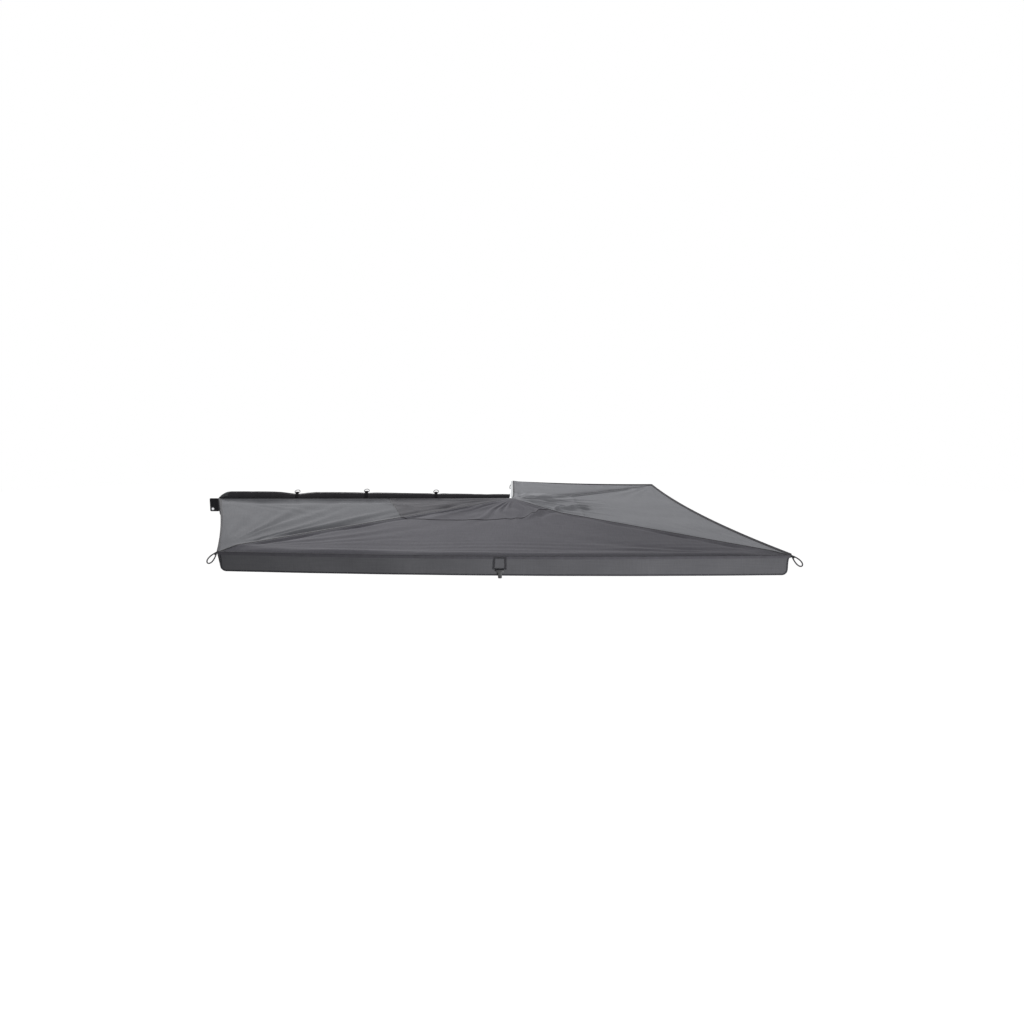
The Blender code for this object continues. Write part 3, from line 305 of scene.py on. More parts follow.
# Canopy: four panels of coated polyester and cotton canvas, cut as triangles and felled together
# along the arms, pulled tight between the arm tips so that folds run in from every corner. Places
# are measured from the pivot from here on, and a share of the reach runs from it to a corner.
pivot = Vector(frame["joints"][0]["pos_m"])
reach = 2.100
corner_drop = (0.122, 0.106, 0.098, 0.122)
peak_height, ridge_fall_off = 0.057, 3
cloth_thick, cloth_over_arm, seam_gap = 0.0015, 0.0008, 0.0008
touch_share = 0.24
last_arm_edge = 0.009
hub_hole = 0.008
edge_cut = (0.018, 0.055, 0.045, 0.018)
edge_sag = (0.008, 0.028, 0.020, 0.008)
lane_pitch = 0.034
arm_height, arm_slope, arm_level_at = 0.046, math.radians(2.0), 0.150
corner_stretch = 0.110
rail_end = pivot.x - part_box("back_rail")[0].x
cloth_edge_drop, cloth_edge_front, cloth_edge_turn = 0.018, 0.118, 0.160
swing_deg = [-joint["range_deg"][0] for joint in frame["joints"] if joint["name"].startswith("arm_")]
arm_deg = [180 + sum(swing_deg[: arm + 1]) for arm in range(4)]
lanes = [-lane_pitch * (3 - arm) for arm in range(4)]
arm_end_share = (reach - corner_stretch) / math.sqrt(reach**2 - lanes[0] ** 2)


def ease(value, low, high):
    """Rises smoothly from nought at low to one at high."""
    share = min(max((value - low) / (high - low), 0), 1)
    return share * share * (3 - 2 * share)


def within(value, low, full, fading, gone):
    """Rises smoothly from nought at low to one at full, and falls back between fading and gone."""
    return ease(value, low, full) * (1 - ease(value, fading, gone))


def ridge(offset, width):
    """One along the line of a ridge, dying away over its width to each side."""
    return math.exp(-((offset / width) ** 2))


def arm_bow(along):
    """Height of an arm's mid line at a distance out from the pivot."""
    return (arm_level_at - along) * math.tan(arm_slope)


def arm_seam(arm, share, aside):
    """A point on an arm's seam at a share of the reach, moved aside along the lanes."""
    length = math.sqrt(reach**2 - lanes[arm] ** 2)
    over = arm_height / 2 / math.cos(arm_slope) + cloth_over_arm + cloth_thick
    on_arm = min(share / touch_share, 1)
    z = peak_height * (1 - on_arm) + (arm_bow(touch_share * length) + over) * on_arm
    if share > touch_share:
        z = arm_bow(share * length) + over
    end = (share - arm_end_share) / (1 - arm_end_share)
    if end > 0:
        z += (peak_height - corner_drop[arm] - arm_bow(length) - over) * end
    turn = Matrix.Rotation(math.radians(arm_deg[arm]), 3, "Z")
    point = turn @ Vector((share * length, lanes[arm] * on_arm + aside, 0))
    return Vector((point.x, point.y, z))


def rail_seam(share):
    """A point on the canopy's edge along the rail, from the hub outwards."""
    x = -share * rail_end
    run = min(-x / cloth_edge_turn, 1)
    return Vector((x, cloth_edge_front * run, peak_height - cloth_edge_drop * run))


def panel_edges(panel, share):
    """The ends of a panel's line across the fan at a share of the reach."""
    first = rail_seam(share) if panel == 0 else arm_seam(panel - 1, share, seam_gap / 2)
    inset = last_arm_edge * min(share / touch_share, 1) if panel == 3 else seam_gap / 2
    return first, arm_seam(panel, share, -inset)


panel_corners = [panel_edges(panel, 1.0) for panel in range(4)]
hem_lengths = [(two - one).length for one, two in panel_corners]
outwards = [Vector((*(one + two).to_2d(), 0)).normalized() for one, two in panel_corners]


def hem_point(panel, across):
    """A point on a panel's outer edge, cut in and sagging between its corners."""
    one, two = panel_corners[panel]
    bow = 4 * across * (1 - across)
    sag = Vector((0, 0, edge_sag[panel] * bow))
    return one.lerp(two, across) - outwards[panel] * edge_cut[panel] * bow - sag


corner_folds = ((0.0020, 0.0105), (0.0024, 0.0024), (0.0022, 0.0022), (0.0022, 0.0020))
hub_folds = (0.0030, 0.0040, 0.0060, 0.0060)
hem_roll, roll_width = (0.009, 0.009, 0.000, 0.000), 0.110
seam_dips, seam_dip_at, seam_dip_width = (0, 0.011, 0.011, 0.016, 0.011), 0.058, 0.030
rail_dip, rail_dip_at, rail_dip_width = 0.011, 0.12, 0.07
hub_creases = (  # the panel, the crease's two ends, its height and its width
    (2, (0.290, -0.300), (0.540, -0.165), 0.0240, 0.018),
    (2, (0.330, -0.190), (0.560, -0.060), 0.0140, 0.018),
    (2, (0.120, -0.040), (0.400, 0.150), 0.0075, 0.026),
    (2, (0.150, 0.080), (0.430, 0.400), 0.0170, 0.020),
    (2, (0.050, 0.040), (0.210, 0.080), 0.0110, 0.016),
    (2, (0.060, -0.030), (0.210, -0.140), 0.0060, 0.016),
    (3, (0.020, 0.150), (0.180, 0.300), 0.0070, 0.022),
    (1, (0.100, -0.540), (0.235, -0.270), 0.0100, 0.024),
    (1, (0.190, -0.500), (0.300, -0.330), -0.0080, 0.026),
    (1, (-0.060, -0.100), (-0.560, -0.560), 0.0060, 0.040),
    (0, (-0.920, 0.090), (-0.640, -0.330), 0.0060, 0.020),
    (0, (-0.930, -0.060), (-0.700, -0.200), 0.0060, 0.018),
)


def fold_height(panel, point, share, from_one, from_two):
    """Height of the cloth's folds at a point between two arms, each at its distance from it.

    Folds run out from the corners and from the hub, sharper creases cross the cloth in places, it
    dips beside each arm and the rail, and small rows of puckers lie along its hem.
    """
    height = 0.0
    for side, rise in enumerate(corner_folds[panel]):
        away = (point - panel_corners[panel][side]).to_2d()
        bearing = math.atan2(away.y, away.x)
        wander = noise.noise(Vector((bearing * 5 + panel * 3.1, away.length * 0.8, side)))
        rise *= within(away.length, 0.04, 0.50, 0.70, 1.60) * (0.6 + 0.4 * math.sin(bearing * 13 + 1.7 + side))
        height += rise * math.sin(bearing * 36 + wander * 5)
    distance = math.hypot(point.x, point.y)
    bearing = math.atan2(point.y, point.x)
    wander = noise.noise(Vector((bearing * 4, distance * 3, 7.5 + panel)))
    near = within(distance, 0.06, 0.26, 0.40, 0.85)
    height += hub_folds[panel] * near * math.sin(bearing * 24 + wander * 6)
    for where, start, end, rise, width in hub_creases:
        if where == panel:
            along = Vector(end) - Vector(start)
            offset = point.to_2d() - Vector(start)
            run = offset.dot(along) / along.length_squared
            aside = (offset.x * along.y - offset.y * along.x) / along.length
            aside += 0.010 * noise.noise(Vector((run * 4, where, 5.0)))
            height += rise * within(run, -0.2, 0.2, 0.8, 1.2) * ridge(aside, width)
    pull = within(share, 0.06, 0.30, 0.86, 0.97)
    for beside, seam in ((from_one, panel), (from_two, panel + 1)):
        slack = 0.75 + 0.9 * noise.noise(Vector((share * 9, seam * 2.7, 60.0)))
        height -= seam_dips[seam] * slack * pull * ridge(beside - seam_dip_at, seam_dip_width)
    if panel == 0:
        height -= rail_dip * within(share, 0.1, 0.3, 0.85, 1) * ridge(from_one - rail_dip_at, rail_dip_width)
    rows = noise.noise(Vector((point.x * 1.3, point.y * 1.3, 11.0 + panel)))
    near_hem = within(share, 0.70, 0.93, 0.975, 1.0)
    height += 0.0014 * near_hem * math.sin(share * 120 + rows * 7) * (0.5 + 0.5 * rows)
    height += 0.0035 * noise.noise(Vector((point.x * 2.2, point.y * 2.2, 3.3 + panel)))
    return height


folds_clear, roll_clear, seam_flat = (0.014, 0.055), (0.06, 0.25), (0.0165, 0.050)


def panel_point(panel, share, across):
    """A point on a panel's upper face, out from the hub by share and round from its first seam."""
    one, two = panel_edges(panel, share)
    far_one, far_two = panel_corners[panel]
    hem = hem_point(panel, across)
    point = (one - far_one * share) * (1 - across) + (two - far_two * share) * across + hem * share
    peak = peak_height * (1 - share)
    lift_one = one.z - (far_one.z * share + peak)
    lift_two = two.z - (far_two.z * share + peak)
    level = hem.z * share + peak + lift_one * (1 - across) ** ridge_fall_off + lift_two * across**ridge_fall_off
    width = hem_lengths[panel] * max(share, 0.01)
    from_one, from_two = across * width, (1 - across) * width
    calm = ease(from_one, *folds_clear) * ease(from_two, *folds_clear) * (1 - ease(share, 0.97, 1.0))
    level += calm * fold_height(panel, point, share, from_one, from_two)
    rolled = ease(from_one, *roll_clear) * ease(from_two, *roll_clear)
    level += hem_roll[panel] * rolled * math.sin(math.pi * min((1 - share) * reach / roll_width, 1))
    kept = 1 - ease(share, arm_end_share, 1.0)
    if panel > 0:
        level += (one.z - level) * (1 - ease(from_one, *seam_flat)) * kept
    level += (two.z - level) * (1 - ease(from_two, *seam_flat)) * kept
    return Vector((point.x, point.y, level))


arm_cover = 0.0135
behind_deg = 40


def closing_turn(panel, point, aside):
    """How far a point turns from its first arm's swing to its second's as the fan closes.

    Cloth that lies over an arm stays on it, and the rest tucks down between the closed arms. The
    point is measured from the pivot, and aside shifts it across the slot between them.
    """
    distance = max(math.hypot(point.x, point.y), 1e-6)
    bearing = math.atan2(point.y, point.x) % (2 * math.pi)
    if bearing < math.radians(arm_deg[panel] - swing_deg[panel] - behind_deg):
        bearing += 2 * math.pi
    on_arm = min(distance / reach / touch_share, 1)
    if panel == 0:
        run = min(distance / cloth_edge_turn, 1)
        first = math.pi - math.asin(min(cloth_edge_front * run / distance, 1))
    else:
        lane = lanes[panel - 1] * on_arm
        first = math.radians(arm_deg[panel - 1]) + math.asin(max(lane / distance, -1))
    second = math.radians(arm_deg[panel]) + math.asin(max(lanes[panel] * on_arm / distance, -1))
    swing = math.radians(swing_deg[panel])
    slot = distance * (second - first - swing)
    past_one, past_two = distance * (bearing - first), distance * (second - bearing)
    tuck_one = 0.0 if panel == 0 else min(max(past_one, 0), arm_cover * on_arm)
    tuck_two = min(max(past_two, 0), arm_cover * on_arm)
    between = min(max((bearing - first) / (second - first), 0), 1)
    settled = tuck_one + (slot - tuck_one - tuck_two) * between + aside * (2 * between - 1)
    return min(max((past_one - settled) / (distance * swing), 0), 1)


def bend_with_arms(piece, panel, asides=None):
    """Blends a piece of cloth between a panel's two bodies, each point by its own turn.

    The blend eases along a line, so the points are laid out on that line for a moment, each where
    the easing gives the turn that it is to have, and then put back. asides shifts each of them.
    """
    places = [vertex.co.copy() for vertex in piece.data.vertices]
    for vertex, place, aside in zip(piece.data.vertices, places, asides or [0.0] * len(places)):
        turn = closing_turn(panel, place - pivot, aside)
        vertex.co = (0.5 - math.sin(math.asin(1 - 2 * turn) / 3), 0, 0)
    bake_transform(piece)
    for vertex, place in zip(piece.data.vertices, places):
        vertex.co = place


def add_piece(name, shape, finish):
    """Turns a bmesh, measured from the pivot, into a piece in the model's own frame."""
    bmesh.ops.recalc_face_normals(shape, faces=shape.faces)
    mesh = bpy.data.meshes.new(name)
    shape.to_mesh(mesh)
    shape.free()
    mesh.transform(Matrix.Translation(pivot))
    mesh.shade_smooth()
    mesh.set_sharp_from_angle(angle=math.radians(50))
    mesh.materials.append(finish)
    made = bpy.data.objects.new(name, mesh)
    bpy.context.collection.objects.link(made)
    return made


def sheet_shape(rows, offset, flat):
    """A closed sheet: rows of points, and the same rows moved by an offset as its other side.

    flat(point) gives each point's place on the flat cut, in metres, for the weave to follow.
    """
    shape = bmesh.new()
    top = [[shape.verts.new(point) for point in row] for row in rows]
    bottom = [[shape.verts.new(point + offset) for point in row] for row in rows]
    deep, wide = len(rows), len(rows[0])
    for i in range(deep - 1):
        for j in range(wide - 1):
            for side in (top, bottom):
                shape.faces.new([side[i][j], side[i][j + 1], side[i + 1][j + 1], side[i + 1][j]])
    rim = [(0, j) for j in range(wide)] + [(i, wide - 1) for i in range(1, deep)]
    rim += [(deep - 1, j) for j in range(wide - 2, -1, -1)] + [(i, 0) for i in range(deep - 2, 0, -1)]
    for (i, j), (k, m) in zip(rim, rim[1:] + rim[:1]):
        shape.faces.new([top[i][j], top[k][m], bottom[k][m], bottom[i][j]])
    layer = shape.loops.layers.uv.new("cut")
    for face in shape.faces:
        for loop in face.loops:
            loop[layer].uv = flat(loop.vert.co)
    return shape


def woven(tree, cut, wave, creases, heights):
    """The relief of a weave's crossed threads, on a cloth that small creases bend first."""
    threads = []
    for way in ("X", "Y"):
        threads.append(add_node(tree, "ShaderNodeTexWave", {"Vector": cut, **wave}, bands_direction=way))
    both = {0: threads[0].outputs["Fac"], 1: threads[1].outputs["Fac"]}
    weave = add_node(tree, "ShaderNodeMath", both, operation="ADD").outputs[0]
    creased = add_node(tree, "ShaderNodeBump", creases).outputs[0]
    return {"Height": weave, "Normal": creased, **heights}


def canvas(name, dark, pale, painted_shade_share=1.0):
    """Coated polyester and cotton canvas: a dull plain weave with slubs, dyed a little unevenly.

    Its threads lie 0.4 mm apart and are drawn at 4 mm, so that they show. A painted shade darkens
    the colour across the cut, to the given share at its far side, standing in for shade that falls there.
    """
    made, tree = new_material(name, 0.86, specular=0.15, sheen=0.05)
    cut = add_node(tree, "ShaderNodeUVMap", uv_map="cut").outputs["UV"]
    colour = blotched(tree, cut, 0.35, dark, pale, 4.0)
    streaks = []
    for scale in ((1 / 0.006, 1 / 0.120, 1), (1 / 0.150, 1 / 0.007, 1)):
        run = add_node(tree, "ShaderNodeMapping", {"Vector": cut, "Scale": scale}).outputs[0]
        streaks.append(add_node(tree, "ShaderNodeTexNoise", {"Vector": run, "Scale": 1.0, "Detail": 2.0}))
    both = {0: streaks[0].outputs["Fac"], 1: streaks[1].outputs["Fac"]}
    slub = add_node(tree, "ShaderNodeMath", both, operation="ADD").outputs[0]
    limits = {"Value": slub, "From Min": 0.7, "From Max": 1.3, "To Min": 0.93, "To Max": 1.07}
    value = add_node(tree, "ShaderNodeMapRange", limits).outputs[0]
    # Painted shade: the colour darkens across the cut towards its far side, down to the given share.
    across = add_node(tree, "ShaderNodeSeparateXYZ", {"Vector": cut}).outputs["X"]
    limits = {"Value": across, "From Min": 0.1, "From Max": -0.9, "To Min": 1.0, "To Max": painted_shade_share}
    painted_shade = add_node(tree, "ShaderNodeMapRange", limits, interpolation_type="SMOOTHSTEP").outputs[0]
    value = add_node(tree, "ShaderNodeMath", {0: value, 1: painted_shade}, operation="MULTIPLY").outputs[0]
    dye_and_painted_shade = add_node(tree, "ShaderNodeHueSaturation", {"Color": colour, "Value": value})
    small = add_node(tree, "ShaderNodeTexNoise", {"Vector": cut, "Scale": 1 / 0.045, "Detail": 4.0})
    wave = {"Scale": math.tau / 20 / 0.004, "Distortion": 0.6, "Detail": 1.0}
    creases = {"Height": small.outputs["Fac"], "Strength": 0.35, "Distance": 0.004}
    weave = woven(tree, cut, wave, creases, {"Strength": 0.12, "Distance": 0.0006})
    return surfaced(made, dye_and_painted_shade.outputs[0], raised=weave)


# One cloth in lit and shaded copies, as painted light: the front panel's copy is darker, the right one's paler,
# the side and far ones between.
side_canvas = canvas("side_canvas", "818287", "8a8b90")
right_lit_canvas = canvas("right_lit_canvas", "94959a", "9d9ea3")
far_canvas = canvas("far_canvas", "8a8b90", "939499")
front_shaded_canvas = canvas("front_shaded_canvas", "727178", "7a7980", painted_shade_share=0.80)
panel_finish = (side_canvas, front_shaded_canvas, right_lit_canvas, far_canvas)
seam_places = (0, 0.008, 0.0165, 0.026, 0.038, 0.055, 0.075)
seam_share, columns_between = 0.35, 124
hub_rows, arm_rows, corner_rows = 24, 84, 7
narrowest = 0.05


def spaced(low, high, steps):
    """Values from low towards high in even steps, without high itself."""
    return [low + (high - low) * step / steps for step in range(steps)]


def columns_at(width):
    """Shares across a panel, close together beside its two seams."""
    near = [min(place / width, seam_share * i / len(seam_places)) for i, place in enumerate(seam_places)]
    return near + spaced(near[-1], 1 - near[-1], columns_between)[1:] + [1 - share for share in reversed(near)]


def flat_cut(panel):
    """Turns a point into its place on the panel's flat cut, with the warp down the panel's middle."""
    facing = outwards[panel]
    return lambda point: (point.x * facing.y - point.y * facing.x, point.x * facing.x + point.y * facing.y)


shares = spaced(hub_hole / reach, touch_share, hub_rows)
shares += spaced(touch_share, arm_end_share, arm_rows)
shares += spaced(arm_end_share, 1.0, corner_rows) + [1.0]
canopy_panels = []
for panel in range(4):
    rows = []
    for share in shares:
        columns = columns_at(hem_lengths[panel] * max(share, narrowest))
        rows.append([panel_point(panel, share, across) for across in columns])
    shape = sheet_shape(rows, Vector((0, 0, -cloth_thick)), flat_cut(panel))
    piece = add_piece(f"canopy_panel_{panel + 1}_cloth", shape, panel_finish[panel])
    bend_with_arms(piece, panel)
    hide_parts(f"canopy_panel_{panel + 1}")
    canopy_panels.append(piece)


# Hub patches: a second layer of canvas, sewn over each panel where the folds meet at the hub.
# Each is cut across its panel, the front one on a curve, and a folded edge is stitched down there.
patch_edges = (
    ((0, 0.840), (1, 0.840)),
    ((0, 0.600), (0.17, 0.630), (0.43, 0.587), (0.60, 0.535), (0.68, 0.440), (0.80, 0.340), (1, 0.260)),
    ((0, 0.485), (1, 0.485)),
    ((0, 0.640), (1, 0.640)),
)
patch_thick, patch_lift = 0.0008, 0.0004
patch_start = 0.022
patch_columns = [0.004 + 0.992 * turn / 96 for turn in range(97)]
# The patches' colours are partly painted light: the side patch is darker, as painted shade, and the other patch
# canvas is paler, as a painted highlight about the hub.
shaded_side_patch = canvas("side_patch_canvas", "6a696e", "727176")
lit_hub_patch = canvas("hub_patch_canvas", "9c9da2", "a5a6ab")
patch_finish = (shaded_side_patch, front_shaded_canvas, lit_hub_patch, lit_hub_patch)
hub_patches = []


def patch_limit(panel, across):
    """The share of the reach at which a hub patch ends, on a line out from the hub."""
    for (before, low), (after, high) in zip(patch_edges[panel], patch_edges[panel][1:]):
        if across <= after:
            away = low + (high - low) * (across - before) / (after - before)
            break
    one, two = panel_corners[panel]
    return away / (((one + two) / 2).to_2d().length - edge_cut[panel] * 4 * across * (1 - across))


for panel in range(4):
    rows = []
    for step in range(41):
        row = []
        for across in patch_columns:
            share = patch_start + (patch_limit(panel, across) - patch_start) * step / 40
            row.append(panel_point(panel, share, across) + Vector((0, 0, patch_lift + patch_thick)))
        rows.append(row)
    shape = sheet_shape(rows, Vector((0, 0, -patch_thick)), flat_cut(panel))
    piece = add_piece(f"hub_patch_{panel + 1}", shape, patch_finish[panel])
    bend_with_arms(piece, panel)
    hub_patches.append(piece)


def swept_shape(sections):
    """A closed body through a run of like sections; its map holds metres along it and round it."""
    shape = bmesh.new()
    layer = shape.loops.layers.uv.new("cut")
    made = [[shape.verts.new(point) for point in section] for section in sections]
    count = len(made[0])
    along, round_it = [0.0], [0.0]
    for one, two in zip(sections, sections[1:]):
        along.append(along[-1] + (sum(two, Vector()) - sum(one, Vector())).length / count)
    for one, two in zip(sections[0], sections[0][1:] + sections[0][:1]):
        round_it.append(round_it[-1] + (two - one).length)
    for i in range(len(made) - 1):
        for j in range(count):
            corners = ((i, j), (i, j + 1), (i + 1, j + 1), (i + 1, j))
            face = shape.faces.new([made[a][b % count] for a, b in corners])
            for loop, (a, b) in zip(face.loops, corners):
                loop[layer].uv = (along[a], round_it[b])
    shape.faces.new(made[0])
    shape.faces.new(made[-1])
    return shape


stitch_pitch, stitch_share, stitch_half = 0.008, 0.7, 0.0005


def sewn(tree, cut, lines):
    """One where a stitch shows. Stitches are 3 mm of 0.4 mm thread, drawn twice that to show."""
    place = add_node(tree, "ShaderNodeSeparateXYZ", {"Vector": cut})
    beat = {0: place.outputs["X"], 1: stitch_pitch}
    beat = add_node(tree, "ShaderNodeMath", beat, operation="DIVIDE").outputs[0]
    beat = add_node(tree, "ShaderNodeMath", {0: beat}, operation="FRACT").outputs[0]
    shown = add_node(tree, "ShaderNodeMath", {0: beat, 1: stitch_share}, operation="LESS_THAN").outputs[0]
    rows = 0.0
    for line in lines:
        row = {0: place.outputs["Y"], 1: line, 2: stitch_half}
        row = add_node(tree, "ShaderNodeMath", row, operation="COMPARE").outputs[0]
        rows = add_node(tree, "ShaderNodeMath", {0: rows, 1: row}, operation="MAXIMUM").outputs[0]
    return add_node(tree, "ShaderNodeMath", {0: rows, 1: shown}, operation="MULTIPLY").outputs[0]


def webbing(name, dark, pale, lines, thread="4a4a4e"):
    """Woven polyester webbing: dull, with ribs across it every 1.5 mm, drawn at 3 mm, and rows of
    stitches at some distances round its section."""
    made, tree = new_material(name, 0.75, specular=0.2, sheen=0.05)
    cut = add_node(tree, "ShaderNodeUVMap", uv_map="cut").outputs["UV"]
    stitches = sewn(tree, cut, lines)
    worn = blotched(tree, cut, 0.04, dark, pale, 4.0)
    mixed = {0: stitches, 6: worn, 7: linear(thread)}
    colour = add_node(tree, "ShaderNodeMix", mixed, data_type="RGBA").outputs[2]
    wave = {"Vector": cut, "Scale": math.tau / 20 / 0.003, "Distortion": 0.3}
    ribs = add_node(tree, "ShaderNodeTexWave", wave, bands_direction="X").outputs["Fac"]
    height = add_node(tree, "ShaderNodeMath", {0: stitches, 1: 2.0, 2: ribs}, operation="MULTIPLY_ADD")
    raised = {"Height": height.outputs[0], "Strength": 0.35, "Distance": 0.0005}
    return surfaced(made, colour, raised=raised)


# One folded tape in two copies: dark on the first two panels, where it also stands as painted shade along the
# patch edge, and paler on the other two, as painted light.
patch_fold = webbing("patch_edge_fold", "47464b", "4e4d52", (0.0035,))
lit_patch_fold = webbing("pale_patch_edge_fold", "94959a", "9d9ea3", (0.0035,), "88898e")
fold_section = ((-0.001, 0.0004), (0.006, 0.0014), (0.006, 0.0023), (-0.001, 0.0023), (-0.002, 0.0014))
panel_depth = reach / 1.4  # about what a panel measures down its middle
patch_hems = []
for panel in range(4):
    sections = []
    for across in patch_columns:
        section = []
        for inward, lift in fold_section:
            share = patch_limit(panel, across) - inward / panel_depth
            section.append(panel_point(panel, share, across) + Vector((0, 0, lift)))
        sections.append(section)
    edge_finish = patch_fold if panel < 2 else lit_patch_fold
    piece = add_piece(f"hub_patch_{panel + 1}_hem", swept_shape(sections), edge_finish)
    bend_with_arms(piece, panel)
    patch_hems.append(piece)


# Seam tapes: a 14 mm strip of cover cloth is stitched over each seam that lies on an arm, and a
# narrower one folds over the canopy's two free edges, along the rail and on the last arm. The seam
# tapes' dark colour is partly painted shade, for the shadow line beside each ridge.
seam_tape = webbing("seam_tape", "2e2e32", "37373b", (0.0020, 0.0120))
tape_thick, tape_lift = 0.0008, 0.0005
tape_start, tape_end, full_width_at = 0.045, 0.9985, 0.11
tape_sides = ((-0.007, 0.007), (-0.007, 0.007), (-0.007, 0.007), (-0.010, 0.0005))
tape_middle = (0, 0, 0, -last_arm_edge)
tape_droop = (0.12, 0.12, 0.12, 0)
seam_tapes = []
for arm in range(4):
    one, two = tape_sides[arm]
    sections = []
    for step in range(91):
        share = tape_start + (tape_end - tape_start) * step / 90
        section = []
        for aside, lift in ((one, 0), (two, 0), (two, tape_thick), (one, tape_thick)):
            shift = tape_middle[arm] * min(share / touch_share, 1) + aside * min(share / full_width_at, 1)
            at = arm_seam(arm, share, shift)
            droop = tape_droop[arm] * abs(aside) * ease(share, arm_end_share, 1.0)
            section.append(at + Vector((0, 0, tape_lift + lift - droop)))
        sections.append(section)
    piece = add_piece(f"seam_tape_{arm + 1}", swept_shape(sections), seam_tape)
    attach(piece, f"arm_{arm + 1}")
    seam_tapes.append(piece)

# This tape's width is a share of the first panel's hem, and up to 12 mm out there.
edge_tape_wide, edge_tape_start, edge_tape_end = 0.012 / 1.4, 0.05, 0.995
edge_tape_section = ((0.0, 0.0004), (edge_tape_wide, 0.0004), (edge_tape_wide, 0.0011), (0.0, 0.0011))
sections = []
for step in range(81):
    share = edge_tape_start + (edge_tape_end - edge_tape_start) * step / 80
    section = [panel_point(0, share, across) + Vector((0, 0, lift)) for across, lift in edge_tape_section]
    sections.append(section)
rail_webbing = webbing("rail_edge_tape", "222125", "2a292d", (0.0020, 0.0120))
rail_tape = add_piece("rail_edge_tape", swept_shape(sections), rail_webbing)
bend_with_arms(rail_tape, 0)


# Hems: a dark grosgrain tape is folded over the canopy's outer edge, where the valance hangs, and
# stitched through in rows. It stands higher on the two panels that are seen from inside.
hem_tape = webbing("hem_tape", "39383c", "414045", (0.0060, 0.0215, 0.0290), "47464b")
hem_section = (
    (-0.0150, 0.0004), (0.0030, 0.0004), (0.0030, -0.0130), (0.0042, -0.0130), (0.0044, 0.0014),
    (0.0030, 0.0038), (0.0000, 0.0048), (-0.0040, 0.0044), (-0.0080, 0.0028), (-0.0150, 0.0022),
)
crown_from, crown_times = 0.003, (1.0, 1.0, 2.2, 2.2)
hem_end = 0.003
hems = []
for panel in range(4):
    crowned = [(outward, up * crown_times[panel] if up > crown_from else up) for outward, up in hem_section]
    inset = hem_end / hem_lengths[panel]
    sections = []
    for step in range(101):
        at = hem_point(panel, inset + (1 - 2 * inset) * step / 100)
        sections.append([at + outwards[panel] * outward + Vector((0, 0, up)) for outward, up in crowned])
    piece = add_piece(f"canopy_hem_{panel + 1}", swept_shape(sections), hem_tape)
    bend_with_arms(piece, panel)
    hems.append(piece)

for panel, piece in enumerate(canopy_panels):
    trims = [hub_patches[panel], patch_hems[panel], hems[panel]]
    trims += [seam_tapes[panel]] + ([rail_tape] if panel == 0 else [])


# Valances: a plain strip of canvas hangs 106 mm down from each hem, coloured darker than the canopy
# as painted shade on its upright face. Its lower corners are rounded, and an 8 mm tape binds its ends
# and its bottom edge.
valance_height, valance_thick, valance_away = 0.106, 0.0018, 0.0006
valance_end_round, valance_end_in = 0.028, 0.0024
valance_cut_back, cut_back_over = (0.013, 0.013, 0.033, 0.013), 0.014
valance_tucked = (0.016, 0, 0, 0)
valance_columns = (56, 110, 110, 56)
valance_shaded_canvas = canvas("valance_shaded_canvas", "454548", "4d4d50")
binding_tape = webbing("valance_binding", "232327", "2b2b2f", (0.0085, 0.0190), "47464b")
falls = (0, 0.03, 0.07, 0.12, 0.2, 0.3, 0.4, 0.5, 0.6, 0.68)
falls += (0.735, 0.78, 0.83, 0.88, 0.92, 0.955, 0.98, 0.995, 1.0)
binding_section = ((-0.0009, -0.0006), (0.0078, -0.0006), (0.0078, 0.0024), (-0.0009, 0.0024))


def valance_at(panel, run, drop, proud):
    """A point on a valance: a distance along it, one down it, and one out from its inner face."""
    length = hem_lengths[panel]
    wave = noise.noise(Vector((run * 3.1, drop * 4, 20.0 + panel))) * 0.6 + 0.4 * math.sin(run * 14 + panel)
    fall = max(drop, 0) / valance_height
    sway = 0.0016 * wave * fall * ease(run, 0, 0.08) * ease(length - run, 0, 0.08)
    sway -= valance_tucked[panel] * fall * ease(run, 0, 0.2)
    hem = hem_point(panel, min(max(run / length, 0), 1))
    return hem + outwards[panel] * (valance_away + proud + sway) - Vector((0, 0, drop))


def end_inset_at(panel, fall):
    """How far a valance's end stands in from the corner, at a share of its height down."""
    low = max(fall * valance_height - (valance_height - valance_end_round), 0)
    rounding = valance_end_round - math.sqrt(max(valance_end_round**2 - low**2, 0))
    cut_back = valance_cut_back[panel] * (1 - math.exp(-fall * valance_height / cut_back_over))
    return valance_end_in + cut_back + rounding


for panel in range(4):
    hem_length, columns, out = hem_lengths[panel], valance_columns[panel], outwards[panel]
    rows, ends = [], []
    for fall in falls:
        inset = end_inset_at(panel, fall)
        ends.append((inset, valance_height * fall))
        runs = [inset + (hem_length - 2 * inset) * step / columns for step in range(columns + 1)]
        rows.append([valance_at(panel, run, valance_height * fall, 0) for run in runs])
    level = Vector((out.y, -out.x, 0))
    shape = sheet_shape(rows, out * valance_thick, lambda point: (point.dot(level), point.z))
    piece = add_piece(f"valance_{panel + 1}_cloth", shape, valance_shaded_canvas)
    half = len(piece.data.vertices) // 2
    bend_with_arms(piece, panel, [-valance_thick / 2] * half + [valance_thick / 2] * half)
    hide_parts(f"valance_{panel + 1}")

    path = ends + [(run, valance_height) for run in runs[1:-1]]
    path += [(hem_length - run, drop) for run, drop in reversed(ends)]
    sections, sides = [], []
    for index, (run, drop) in enumerate(path):
        before, after = path[max(index - 1, 0)], path[min(index + 1, len(path) - 1)]
        way = Vector((after[0] - before[0], after[1] - before[1])).normalized()
        inner = Vector((way.y, -way.x))
        section = []
        for inward, proud in binding_section:
            section.append(valance_at(panel, run + inner.x * inward, drop + inner.y * inward, proud))
            sides.append(proud - valance_thick / 2)
        sections.append(section)
    bound = add_piece(f"valance_{panel + 1}_binding", swept_shape(sections), binding_tape)
    bend_with_arms(bound, panel, sides)
